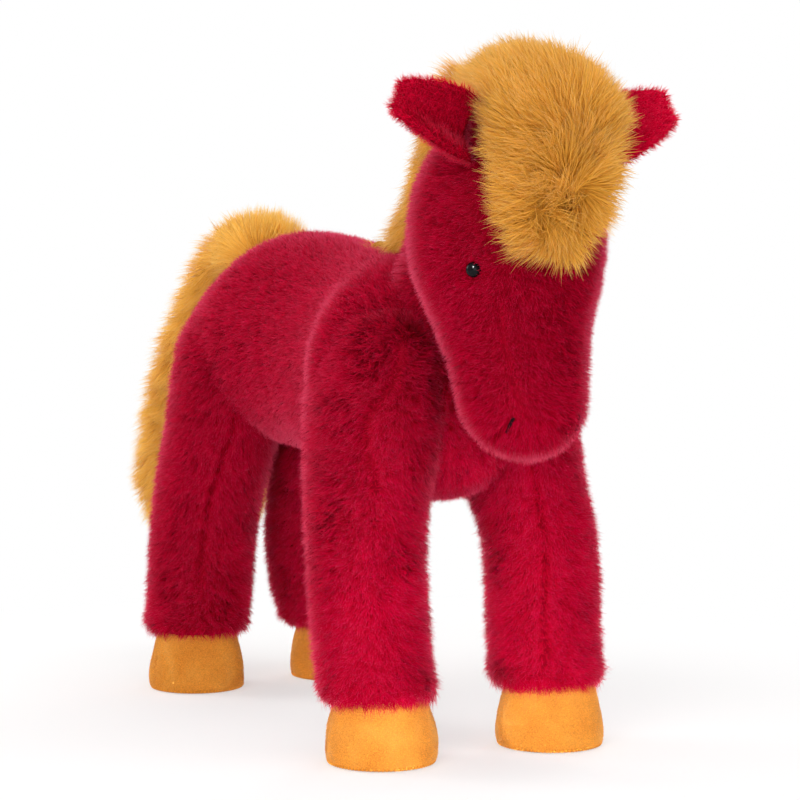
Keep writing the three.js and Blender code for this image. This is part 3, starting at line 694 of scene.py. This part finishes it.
def strands(name, roots, normals, lay, seed, *, mat, body, slot, length, width, tilts, clump, jitter, swirl,
            swirl_scale, segments, upright, sink=0.4, spread=0.25, seams=()):
    """Grows tapering strands that lean over from the surface towards the lay and gather in clumps."""
    r = np.random.default_rng(seed)
    n = len(roots)
    lay = unit(lay - normals * (lay * normals).sum(1, keepdims=True))
    side = np.cross(normals, lay)
    turn = (r.normal(size=n) * jitter + swirl * noise(roots, swirl_scale, 1))[:, None]
    lay = np.cos(turn) * lay + np.sin(turn) * side
    long = np.broadcast_to(length, (n,)) * r.uniform(1 - spread, 1 + spread, n)
    lean = r.normal(size=n) * LEAN_SPREAD + LEAN_WANDER * noise(roots, swirl_scale / 3, 2)
    for seam in seams:
        close, away = seam.beside(roots)
        lay = unit(lay + SEAM_PULL * close[:, None] * away)
        long = long * (1 - seam.short * close)
        lean = lean + SEAM_LEAN * close
    points = bent(roots, normals, lay, long, lean, np.broadcast_to(tilts, (n, 2)), segments, sink)
    own = gather(points, roots, clump, r)
    verts, shade = ribbons(points, normals, width, upright, r)
    faces = ribbon_faces(verts, normals)
    per = verts.shape[1]
    along = np.concatenate([np.repeat(np.arange(segments) / segments, 2), [1]])
    crowd = r.random(n)
    mine = SHADE_OF_CLUMP * crowd[own] + (1 - SHADE_OF_CLUMP) * crowd
    uv = np.stack([np.broadcast_to(mine[:, None], (n, per)), np.broadcast_to(along, (n, per))], -1)
    mesh = bpy.data.meshes.new(name)
    mesh.vertices.add(n * per)
    mesh.vertices.foreach_set("co", to_row(verts.reshape(-1, 3)).astype(np.float32).ravel())
    mesh.loops.add(len(faces) * 3)
    mesh.loops.foreach_set("vertex_index", faces.astype(np.int32).ravel())
    mesh.polygons.add(len(faces))
    mesh.polygons.foreach_set("loop_start", np.arange(0, len(faces) * 3, 3, dtype=np.int32))
    mesh.polygons.foreach_set("use_smooth", np.ones(len(faces), bool))
    layer = mesh.uv_layers.new(name="OFBake")
    layer.data.foreach_set("uv", uv.reshape(-1, 2)[faces.ravel()].astype(np.float32).ravel())
    mesh.update()
    mesh.normals_split_custom_set_from_vertices(shade.reshape(-1, 3).astype(np.float32))
    return add_piece(name, mesh, mat, body)


def coat(name, roots, normals, lay, seed, *, segments, **kw):
    """Pile over one form, in as many pieces as its size asks for, sorted from low to high."""
    parts = math.ceil(len(roots) * (2 * segments - 1) / MOST_FACES)
    order = np.argsort(roots[:, 2])
    for k, chosen in enumerate(np.array_split(order, parts)):
        label = name if parts == 1 else f"{name}_{k + 1}"
        own = {key: value[chosen] if isinstance(value, np.ndarray) else value for key, value in kw.items()}
        strands(label, roots[chosen], normals[chosen], lay[chosen], seed + 10 * k, segments=segments, **own)


# The stuffed body

for name, cushion in cushions.items():
    stood_for = [f"{name}_skin"] + (["fibre_fill"] if name == "torso" else [])
    cushion_piece(f"{name}_cushion", cushion, red_cloth, "horse", stood_for)

PILE = dict(
    mat=red_pile, body="horse", slot="plush_red", width=0.3, segments=2, clump=(4, 0.35), jitter=0.85,
    swirl=0.45, swirl_scale=32, spread=0.3, upright=0.84, sink=0.3,
)
TEXTURE = {
    "torso": dict(width=0.42, clump=(7, 0.6), jitter=1.1, upright=0.72),
    "leg": dict(width=0.4, clump=(6, 0.55), upright=0.74),
}
DENSITY, PILE_LENGTH, PILE_TILTS = 2.9, 6.2, [0.22, 0.85]
LEG_LONGER, LEG_TILTS, HEAD_SHORTER = 1.26, [0.06, 0.1], 0.9
HEM_DENSITY, HEM_BAND, HEM_REACH, HEM_LONGER, HEM_TILTS = 9, 3.6, 9, 0.35, [0.1, 0.65]
HEM_LENGTHS = {"leg_front_right": 12, "leg_front_left": 11, "leg_hind_right": 5, "leg_hind_left": 9}
HEM = {**PILE, "clump": (6, 0.5), "spread": 0.35, "tilts": (0.6, 1.75)}
EYE_SHIFTS = {"right": np.zeros(3), "left": np.array([-0.8, 2.6, 0])}
EYE_CLEAR, EYE_REACH, EYE_LEAST, EYE_RISE = 4, 6, 0.55, 0.45
NOSTRIL_CLEAR = 0.84
BURIED, BURIED_IN_TUFT, TUFT_BURIED = 1, 2.5, 2
FAR_OFF = 400
ROOT_SEED, HEM_ROOT_SEED, HEM_SEED, PILE_SEED = 100, 150, 160, 200
PILE_CLEAR, HEM_CLEAR, HEM_SHORT, HEM_RANGE, HEM_DOWN = 0.5, 0.3, 5, 7, 1.5

eyes = {}
for side_name, _ in SIDES:
    low, high = box_mm(f"eye_{side_name}")
    found = head.tree().find_nearest(Vector((low + high) / 2 - OFFSET))
    eyes[side_name] = np.array(found[0]) + EYE_SHIFTS[side_name], np.array(found[1])


def on_head(x, z):
    """The place on the front of the head that is x to the side and z up."""
    return np.array(head.tree().ray_cast(Vector((x, -FAR_OFF, z)), Vector((0, 1, 0)))[0])


GUSSET = [(-22, 214), (-20, 200), (-17, 184), (-15, 172)]
gussets = [Seam([on_head(side * x, z) for x, z in GUSSET], reach=1.3, short=0.3) for side in (1, -1)]
nostrils = []
for side_name, side in SIDES:
    low, high = (corner - OFFSET for corner in box_mm(f"nostril_stitch_{side_name}"))
    ends = ((low[0], low[2]), (high[0], high[2])) if side > 0 else ((high[0], low[2]), (low[0], high[2]))
    nostrils.append(Seam([on_head(x, z) for x, z in ends], reach=2, short=0.25))
PARTING = unit(np.array([-0.467, -0.883]))
PARTING_STEPS, PARTING_BAND = 7, 3


def parting(cushion, side, low, high):
    """A line down a leg where its panels meet, on the side that faces forwards."""
    places = []
    for z in np.linspace(low, high, PARTING_STEPS):
        row = cushion.verts[np.abs(cushion.verts[:, 2] - z) < PARTING_BAND]
        ahead = row[:, :2] @ (PARTING * [side, 1])
        places.append(row[ahead.argmax()])
    return Seam(places, reach=1.7, short=0.25)


def drawn_on(cushion, places, way, **kw):
    """A seam through places, each moved along the way that is given until it meets the form."""
    tree, way = cushion.tree(), np.array(way, float)
    starts = [np.array(place) - FAR_OFF / 2 * way for place in places]
    return Seam([np.array(tree.ray_cast(Vector(start), Vector(way))[0]) for start in starts], **kw)


CREASE = [[-38, -135, 193], [-43.5, -135, 179], [-52.5, -135, 163], [-54, -135, 149], [-52.5, -135, 129]]
HAUNCH = np.array([[50, 24, 226], [50, 19, 200], [50, 15, 175], [50, 13, 155]])
seams = {
    "torso": [
        drawn_on(torso, HAUNCH * [side, 1, 1], (-side, 0, 0), reach=3.5, short=0.3) for side in (-1, 1)
    ],
    "leg_front_left": [parting(cushions["leg_front_left"], 1, 45, 150)],
    "leg_front_right": [drawn_on(front_right, CREASE, (0, 1, 0), reach=2.4, short=0.55)],
    "leg_hind_right": [parting(hind_right, 1, 60, 150)],
    "leg_hind_left": [parting(cushions["leg_hind_left"], -1, 60, 150)],
    "head": gussets + nostrils,
}


HAUNCH_BACK, HAUNCH_DOWN, SHOULDER_UP, SHOULDER_TURN = (20, 60), (215, 185), (140, 180), 0.15
CHEEK, BROW_FACING = 43, -0.75


def share(x, start, stop):
    """How far x has come from start to stop, from 0 to 1."""
    return np.clip((x - start) / (stop - start), 0, 1)


def laid(p, out, back, down):
    """A way to lie at each place: out to its own side, back and down."""
    return np.stack(np.broadcast_arrays(out * np.sign(p[:, 0]), back, -down), -1)


def lay_of(name, p, n):
    """The way the pile lies at places p with normals n."""
    if name == "torso":
        haunch = share(p[:, 1], *HAUNCH_BACK) * share(p[:, 2], *HAUNCH_DOWN)
        return laid(p, out=0.3, back=0.8 - 0.5 * haunch, down=0.9)
    if name == "neck":
        return laid(p, out=0.3, back=0.5, down=1)
    if name == "head":
        cheek = share(np.abs(p[:, 0]), 0, CHEEK) * (n[:, 1] > BROW_FACING)
        return laid(p, out=0.6 * cheek, back=0.8 * cheek, down=1 - 0.4 * cheek)
    if "hind" in name:
        return laid(p, out=0.1, back=0.25, down=1)
    turn = SHOULDER_TURN * share(p[:, 2], *SHOULDER_UP)[:, None]
    return laid(p, out=0.1, back=0.1, down=1) + turn * unit((p - NECK_BASE) * [1, 1, 0])


others = {**cushions, "mane": mane, "forelock": forelock, "dock": dock}
for k, (name, cushion) in enumerate(cushions.items()):
    roots, normals = roots_on(cushion, DENSITY, ROOT_SEED + k)
    is_leg = name.startswith("leg")
    keep = np.ones(len(roots), bool)
    for other, form in others.items():
        if other != name:
            keep &= ~inside(roots, form, BURIED if other in cushions else BURIED_IN_TUFT)
    long = np.full(len(roots), PILE_LENGTH)
    tilts = np.tile(PILE_TILTS, (len(roots), 1))
    if is_leg:
        keep &= roots[:, 2] > HOOF_TOP + PILE_CLEAR
        near = np.clip(1 - (roots[:, 2] - HOOF_TOP) / HEM_REACH, 0, 1)
        hem = near * (HEM_LENGTHS[name] - HEM_SHORT) / HEM_RANGE
        long *= LEG_LONGER + HEM_LONGER * hem
        tilts += LEG_TILTS + hem[:, None] * HEM_TILTS
    if name == "head":
        long *= HEAD_SHORTER
        for place, _ in eyes.values():
            gap = np.linalg.norm(roots - place, axis=1)
            keep &= gap > EYE_CLEAR
            grown = EYE_LEAST + EYE_RISE * (gap - EYE_CLEAR) / (EYE_REACH - EYE_CLEAR)
            long *= np.clip(grown, EYE_LEAST, 1)
        for nostril in nostrils:
            keep &= nostril.beside(roots)[0] < NOSTRIL_CLEAR
    finish = {**PILE, **TEXTURE.get(name.split("_")[0], {})}
    coat(
        f"{name}_pile", roots[keep], normals[keep], lay_of(name, roots, normals)[keep], PILE_SEED + 20 * k,
        length=long[keep], tilts=tilts[keep], seams=seams.get(name, ()), **finish,
    )
    if is_leg:
        roots, normals = roots_on(cushion, HEM_DENSITY, HEM_ROOT_SEED + k)
        keep = (roots[:, 2] > HOOF_TOP + HEM_CLEAR) & (roots[:, 2] < HOOF_TOP + HEM_BAND)
        roots, normals = roots[keep], normals[keep]
        lay = lay_of(name, roots, normals) * [1, 1, HEM_DOWN]
        strands(f"{name}_hem", roots, normals, lay, HEM_SEED + k, length=HEM_LENGTHS[name], **HEM)

# Mane, forelock, tail and the dock that the tail hangs from

PARTED = np.array([[9, -213, 271], [-4, -214, 245]])
PARTED_FAR, DRIFT, DRIFT_SCALE, DRIFT_SEEDS = 30, 9, 14, (31, 32, 33)
DOCK_MIDDLE = np.array([0, 112, 230])
TAIL_TOP, TAIL_AHEAD = (215, 245), 14
GOLD_DENSITY = 3.2
GOLD_PILE = dict(
    slot="plush_gold", width=0.3, clump=(5, 0.4), segments=3, jitter=0.4, swirl_scale=24, upright=0.65,
    spread=0.35,
)


def from_parting(p):
    """The way from the nearest place on the forelock's short parting to each root."""
    run = PARTED[1] - PARTED[0]
    along = np.clip((p - PARTED[0]) @ run / (run @ run), 0, 1)
    return p - PARTED[0] - along[:, None] * run


def gold_lay(name, p):
    """The way the hair lies, how far it leans at its root and its tip, and how much it swirls."""
    if name == "mane":
        return laid(p, out=0.5, back=0.8, down=0.8), (0.6, 1.2), 0.4
    if name == "forelock":
        away = from_parting(p)
        far = share(np.linalg.norm(away, axis=1), 0, PARTED_FAR)
        drift = np.stack([noise(p, DRIFT_SCALE, seed) for seed in DRIFT_SEEDS], -1)
        lay = unit(away + DRIFT * drift) + [0, 0, -0.15]
        return lay, np.stack([0.5 + 0.15 * far, 1 + 0.2 * far], -1), 0.5 + 0.9 * np.exp(-9 * far**2)
    if name == "dock":
        return unit(p - DOCK_MIDDLE) + [0, 0.25, 0.1], (0.25, 0.75), 0.9
    top = share(p[:, 2], *TAIL_TOP)
    ahead = top * np.clip((tail_hinge[1] + TAIL_AHEAD - p[:, 1]) / TAIL_AHEAD, 0, 1)
    lay = laid(p, out=0.6, back=0.15 + 0.4 * top - 2.2 * ahead, down=1 - 0.9 * top - 0.6 * ahead)
    lay[:, 0] += 0.3 * ahead
    return lay, (0.3, 0.9), 0.6


for name, form, body, long, pile, seed in (
    ("mane", mane, "horse", 13.5, gold_pile, 400), ("forelock", forelock, "horse", 16, gold_pile, 440),
    ("tail", tail, "tail", 15.5, tail_pile, 480), ("dock", dock, "horse", 16, tail_pile, 520),
):
    stood_for = [name] if name != "dock" else []
    cushion_piece(f"{name}_core", form, gold_cloth, body, stood_for)
    roots, normals = roots_on(form, GOLD_DENSITY, seed)
    keep = np.ones(len(roots), bool)
    for other, solid in cushions.items():
        if name not in ("tail", "dock") or other == "torso":
            keep &= ~inside(roots, solid, TUFT_BURIED)
    roots, normals = roots[keep], normals[keep]
    lay, tilts, swirl = gold_lay(name, roots)
    coat(
        f"{name}_hair", roots, normals, lay, seed + 1, mat=pile, body=body, length=long, tilts=tilts,
        swirl=swirl, **GOLD_PILE,
    )

# Ears

EAR_LENGTH, EAR_WIDTH, EAR_CUP, EAR_LIP, EAR_DROP = 42.5, 31, 7, 3.2, 1.2
LIP_FROM, LIP_RUN, EDGE_ROUND, TIP_ROUND = 0.3, 0.6, 5, 9
BOW, BOW_ROUND, BOW_TURN = 0.98, 0.03, 0.01
EAR_DENSITY, EAR_ROOT_SEED, EAR_SEED, EAR_DOWN = 4, 600, 620, 0.2
EAR_LIFT, EAR_SWEEP = math.radians(20), math.radians(12)
EAR_WIDTHS = [[0, 0.96], [0.3, 1], [0.6, 0.84], [0.82, 0.68], [0.94, 0.54], [1, 0.34]]
EAR_LAYERS = (("plush", "outer", -1.8, 1.2, 0), ("lining", "lining", 1.3, 2.8, 0.06))
EAR_PILE = {**PILE, "mat": ear_pile, "width": 0.27, "length": 4.2, "tilts": (0.6, 1.15)}


def leaf(back, front, margin, columns=32, rows=36):
    """A cupped leaf with rounded edges and a lip along its lower side: X across, Y along, Z its facing."""
    widths = curve_at(EAR_WIDTHS, np.linspace(0, 1, rows + 1))
    side = np.linspace(-1, 1, columns + 1)
    lip = np.clip((-side - LIP_FROM) / LIP_RUN, 0, 1)
    lip = EAR_LIP * lip**2 * (3 - 2 * lip)
    layers = []
    for depth in (back, front):
        grid = np.empty((rows + 1, columns + 1, 3))
        for k, (along, wide) in enumerate(widths):
            along = margin + along * (1 - 2 * margin)
            thick = depth * np.sqrt(1 - np.abs(side) ** EDGE_ROUND) * math.sqrt(1 - along**TIP_ROUND)
            bow = BOW + BOW_ROUND * side**2 - BOW_TURN * side
            grid[k, :, 0] = side * wide * (1 - 2 * margin) * EAR_WIDTH / 2 - EAR_DROP
            grid[k, :, 1] = along * EAR_LENGTH * bow
            grid[k, :, 2] = (EAR_CUP * side**2 + lip) * (1 - along**2) + thick
        layers.append(grid.reshape(-1, 3))
    at = np.arange(2 * (rows + 1) * (columns + 1)).reshape(2, rows + 1, columns + 1)
    a, b, c, d = at[:, :-1, :-1], at[:, 1:, :-1], at[:, 1:, 1:], at[:, :-1, 1:]
    leaves = np.stack([[a[0], b[0], c[0], d[0]], [a[1], d[1], c[1], b[1]]])
    rims = np.stack([
        [a[0, :, 0], a[1, :, 0], b[1, :, 0], b[0, :, 0]],
        [d[0, :, -1], c[0, :, -1], c[1, :, -1], d[1, :, -1]],
    ])
    ends = np.stack([[a[0, 0], d[0, 0], d[1, 0], a[1, 0]], [b[0, -1], b[1, -1], c[1, -1], c[0, -1]]])
    leaves = leaves.transpose(2, 3, 0, 1).reshape(rows, -1, 4)
    quads = np.concatenate([leaves, rims.transpose(2, 0, 1)], 1).reshape(-1, 4)
    return np.concatenate(layers), np.vstack([quads, ends.transpose(2, 0, 1).reshape(-1, 4)])


hinge = hinges["ear_right"]
ear_facing = np.array([math.sin(EAR_SWEEP), -math.cos(EAR_SWEEP), 0])
ear_along = np.array([
    -math.cos(EAR_SWEEP) * math.cos(EAR_LIFT), -math.sin(EAR_SWEEP) * math.cos(EAR_LIFT), math.sin(EAR_LIFT),
])
ear_across = np.cross(ear_along, ear_facing)
for side_name, flip in SIDES:
    body = f"ear_{side_name}"
    for what, kind, back, front, margin in EAR_LAYERS:
        verts, quads = leaf(back, front, margin)
        placed = hinge + verts[:, :1] * ear_across + verts[:, 1:2] * ear_along + verts[:, 2:] * ear_facing
        patch = Patch(placed * [flip, 1, 1], quads if flip > 0 else quads[:, ::-1])
        label = f"{body}_{what}"
        cushion_piece(label, patch, red_cloth, body, [f"ear_{kind}_{side_name}"])
        roots, normals = roots_on(patch, EAR_DENSITY, EAR_ROOT_SEED)
        lay = np.tile(ear_along * [flip, 1, 1], (len(roots), 1)) - [0, 0, EAR_DOWN]
        strands(f"{label}_pile", roots, normals, lay, EAR_SEED, **{**EAR_PILE, "body": body})

# Hooves: a suede bell with a rolled top, a sole and the stitches that join them

HOOF_R, HOOF_WALL, HOOF_ROLL = 26, 0.08, 0.6
BELL = [
    [0.9, 0.5], [0.95, 0.7], [0.98, 2], [0.995, 4], [1, 6.5], [0.99, 10.5], [0.965, 15],
    [0.925, 20], [0.875, 25], [0.83, 29], [0.79, 31.5], [0.74, 31],
]
INNER = [[r - HOOF_WALL, z] for r, z in BELL[::-1][:-1]]
BELL_PROFILE = [[r * HOOF_R, z] for r, z in BELL] + [[r * HOOF_R, z - HOOF_ROLL] for r, z in INNER]
SOLE_PROFILE = [
    [0.2, 0], [0.5 * HOOF_R, 0], [0.9 * HOOF_R, 0.05], [0.945 * HOOF_R, 0.5], [0.95 * HOOF_R, 1.1],
    [0.92 * HOOF_R, 1.7], [0.5 * HOOF_R, 1.9], [0.2, 1.9],
]
LOOP = [[0.01, -0.8], [0.3, -0.7], [0.5, -0.3], [0.5, 0.3], [0.3, 0.7], [0.01, 0.8]]
STITCHES, STITCH_TALL, STITCH_RING, STITCH_HEIGHT = 84, 1.1, 0.965, 1
STITCH_OUT, STITCH_ALONG, STITCH_UP = 0.35, 0.15, 0.9
HOOF_SIDES, HOOF_WOBBLE, HOOF_SEED = 72, 0.016, 50
NAP_DENSITY, NAP_FROM, NAP_LAY, NAP_ROOT_SEED, NAP_SEED = 5.5, 1.2, [0.25, 0.1, -1], 700, 720
NAP_PILE = dict(
    mat=suede_nap, body="horse", slot="suede_gold", length=0.9, width=0.17, tilts=(0.5, 1.15),
    clump=(3, 0.3), jitter=0.7, swirl=1.2, swirl_scale=16, segments=2, sink=0.1, upright=0.85,
)


def lathe(profile, sides, wobble=0, seed=0):
    """A profile of radius and height turned round Z, whose radius may wander a little."""
    rows = np.array(profile, float)
    dense = curve_at(rows, np.linspace(0, 1, len(rows) * 4))
    angle = np.linspace(0, 2 * math.pi, sides, endpoint=False)
    ring = np.stack([np.cos(angle), np.sin(angle)], -1)
    grid = np.empty((len(dense), sides, 3))
    grid[:, :, :2] = dense[:, None, :1] * ring[None]
    grid[:, :, 2] = dense[:, None, 1]
    verts = grid.reshape(-1, 3)
    if wobble:
        verts[:, :2] *= 1 + wobble * (noise(verts, 30, seed) + 0.5 * noise(verts, 11, seed + 1))[:, None]
    return verts, ring_quads(len(dense) - 1, sides)


def along_axis(verts, place, axis):
    """Turns +Z to an axis and moves the origin to a place."""
    turn = np.array(Vector(axis).to_track_quat("Z", "Y").to_matrix())
    return verts @ turn.T + place


def stitch_ring(radius, height, count):
    """Short thread loops round a circle, each one a small bead across the edge."""
    verts, quads = [], []
    loop_verts, loop_quads = lathe(LOOP, 6)
    for k in range(count):
        angle = 2 * math.pi * k / count
        out = np.array([math.cos(angle), math.sin(angle), 0])
        along = np.array([-out[1], out[0], 0])
        lean = unit(STITCH_OUT * out + STITCH_ALONG * along + [0, 0, STITCH_UP])
        quads.append(loop_quads + len(verts) * len(loop_verts))
        verts.append(along_axis(loop_verts * [1, 1, STITCH_TALL], radius * out + [0, 0, height], lean))
    return np.vstack(verts), np.vstack(quads)


for k, name in enumerate(HOOVES):
    low, high = box_mm(f"hoof_sole_{name}")
    centre = (low + high) / 2 - OFFSET
    centre[2] = 0
    verts, quads = lathe(BELL_PROFILE, HOOF_SIDES, HOOF_WOBBLE, HOOF_SEED + k)
    bell = piece(f"hoof_{name}_suede", verts + centre, quads, suede, "horse")
    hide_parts(f"hoof_{name}")
    roots, normals = roots_on(Patch(verts + centre, quads), NAP_DENSITY, NAP_ROOT_SEED + k)
    across = roots - centre
    outer = (across[:, :2] * normals[:, :2]).sum(1) > 0
    keep = outer & (roots[:, 2] < HOOF_TOP) & (roots[:, 2] > NAP_FROM)
    lay = np.tile(NAP_LAY, (len(roots), 1))
    strands(f"hoof_{name}_nap", roots[keep], normals[keep], lay[keep], NAP_SEED + k, **NAP_PILE)
    verts, quads = lathe(SOLE_PROFILE, HOOF_SIDES)
    sole = piece(f"hoof_{name}_sole", verts + centre, quads, suede, "horse")
    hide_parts(f"hoof_sole_{name}")
    verts, quads = stitch_ring(STITCH_RING * HOOF_R, STITCH_HEIGHT, STITCHES)
    piece(f"hoof_{name}_stitches", verts + centre, quads, gold_thread, "horse")

# Eyes: a glossy bead that stands out of the pile on its shank. Nostrils: the solids' own stitches

BEAD_WIDTH, SHANK_WIDTH, SHANK_TOP = 7, 3.2, -0.6
BEAD = [
    [0.01, -3.2], [0.34, -3.2], [0.36, -0.6], [0.8, -0.3], [0.97, 0.4], [1, 1], [0.96, 1.8], [0.84, 2.7],
    [0.62, 3.35], [0.32, 3.75], [0.01, 3.85],
]
BEAD_PROFILE = [[r * BEAD_WIDTH / 2 if z > SHANK_TOP else r * SHANK_WIDTH, z] for r, z in BEAD]

for side_name, (place, out) in eyes.items():
    verts, quads = lathe(BEAD_PROFILE, 40)
    eye = piece(f"eye_{side_name}_bead", along_axis(verts, place, out), quads, bead, "horse")
    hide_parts(f"eye_{side_name}")

for side_name, _ in SIDES:
    stitch = frame["nodes"][f"nostril_stitch_{side_name}"].data.materials
    stitch.clear()
    stitch.append(dark_thread)

# Floor: plain and pale, and white to the camera away from the horse

FLOOR_HALF, FLOOR_DROP = 3, 0.0003
WHITE_FROM, WHITE_TO, WHITE_LEAST = 0.1, 0.45, 0.45


def floor_look(nodes, shader):
    place = node(nodes, "TexCoord")
    length = node(nodes, "VectorMath", operation="LENGTH")
    link(place.outputs["Object"], length.inputs[0])
    far = node(
        nodes, "MapRange", interpolation_type="SMOOTHSTEP",
        **{"From Min": WHITE_FROM, "From Max": WHITE_TO, "To Min": WHITE_LEAST},
    )
    link(length.outputs["Value"], far.inputs["Value"])
    path = node(nodes, "LightPath")
    seen = node(nodes, "Math", operation="MULTIPLY")
    link(far.outputs[0], seen.inputs[0])
    link(path.outputs["Is Camera Ray"], seen.inputs[1])
    white = node(nodes, "Emission")
    mix = node(nodes, "MixShader")
    link(seen.outputs[0], mix.inputs[0])
    link(shader.outputs[0], mix.inputs[1])
    link(white.outputs[0], mix.inputs[2])
    link(mix.outputs[0], nodes["Material Output"].inputs["Surface"])


floor_mesh = bpy.data.meshes.new("floor")
near, far = -FLOOR_HALF, FLOOR_HALF
corners = ((near, near), (far, near), (far, far), (near, far))
floor_mesh.from_pydata([(x, y, -FLOOR_DROP) for x, y in corners], [], [(0, 1, 2, 3)])
floor_mesh.materials.append(material("floor", (0.93, 0.91, 0.91), floor_look, rough=0.9))
add("floor", floor_mesh)

# World: soft light on the horse, and white for what the camera, gloss and glass see

world = scene.world = bpy.data.worlds.new("studio")
world.use_nodes = True
nodes = world.node_tree.nodes
for n in list(nodes):
    nodes.remove(n)
ambient = node(nodes, "Background", Strength=0.5, Color=(1, 0.99, 0.98, 1))
plain = node(nodes, "Background", Color=(1, 1, 1, 1))
path = node(nodes, "LightPath")
seen = path.outputs["Is Camera Ray"]
for ray in ("Is Glossy Ray", "Is Transmission Ray"):
    most = node(nodes, "Math", operation="MAXIMUM")
    link(seen, most.inputs[0])
    link(path.outputs[ray], most.inputs[1])
    seen = most.outputs[0]
mix = node(nodes, "MixShader")
link(seen, mix.inputs[0])
link(ambient.outputs[0], mix.inputs[1])
link(plain.outputs[0], mix.inputs[2])
link(mix.outputs[0], node(nodes, "OutputWorld").inputs[0])

# Lamps, in metres and watts: bounce is a narrow beam on the lower front legs, where light comes back
# off the floor, and catch lights only what is glossy

AIM = (0, 0, 0.16)
BOUNCE_SPREAD = math.radians(13)


def lamp(name, place, power, size=1, target=AIM):
    data = bpy.data.lights.new(name, "AREA")
    data.shape = "DISK"
    data.size = size
    data.energy = power
    obj = add(name, data)
    obj.location = place
    obj.rotation_euler = (Vector(target) - Vector(place)).to_track_quat("-Z", "Y").to_euler()
    return obj


lamp("key", (-0.9, -0.9, 0.9), power=6.3)
lamp("top", (0.15, -0.4, 1.4), power=5.4)
lamp("fill", (1, -1.2, 0.4), power=5)
lamp("low", (-0.6, -1.2, 0.1), power=4.5, size=0.8, target=(0, 0, 0.08))
lamp("rim_right", (-1.1, 1, 0.7), power=11, size=0.8)
lamp("rim_left", (1.2, 0.9, 0.7), power=7, size=0.8)
bounce = lamp("bounce", (-0.6, -1.2, 0.06), power=0.11, size=0.15, target=(0.03, -0.08, 0.04))
bounce.data.spread = BOUNCE_SPREAD
bounce.visible_camera = False
catch = lamp("catch", (-1.05, -1, 0.85), power=60, size=0.42)
catch.visible_diffuse = False

# Camera: its place is counted from the middle of the four hooves

CAMERA_PLACE, YAW, PITCH = [-536.6, -1060, 221.1], -0.4866, 0.0488
LENS, CLIP_START = 103.5, 0.05

soles = [box_mm(f"hoof_sole_{name}") for name in HOOVES]
ground = np.mean([(low + high) / 2 for low, high in soles], axis=0)
ground[2] = 0
forward = Vector((-math.sin(YAW) * math.cos(PITCH), math.cos(YAW) * math.cos(PITCH), -math.sin(PITCH)))
camera_data = bpy.data.cameras.new("camera")
camera_data.lens = LENS
camera_data.clip_start = CLIP_START
camera = scene.camera = add("camera", camera_data)
camera.location = (np.array(CAMERA_PLACE) + ground) * MM
camera.rotation_euler = forward.to_track_quat("-Z", "Y").to_euler()
scene.view_settings.view_transform = "Standard"
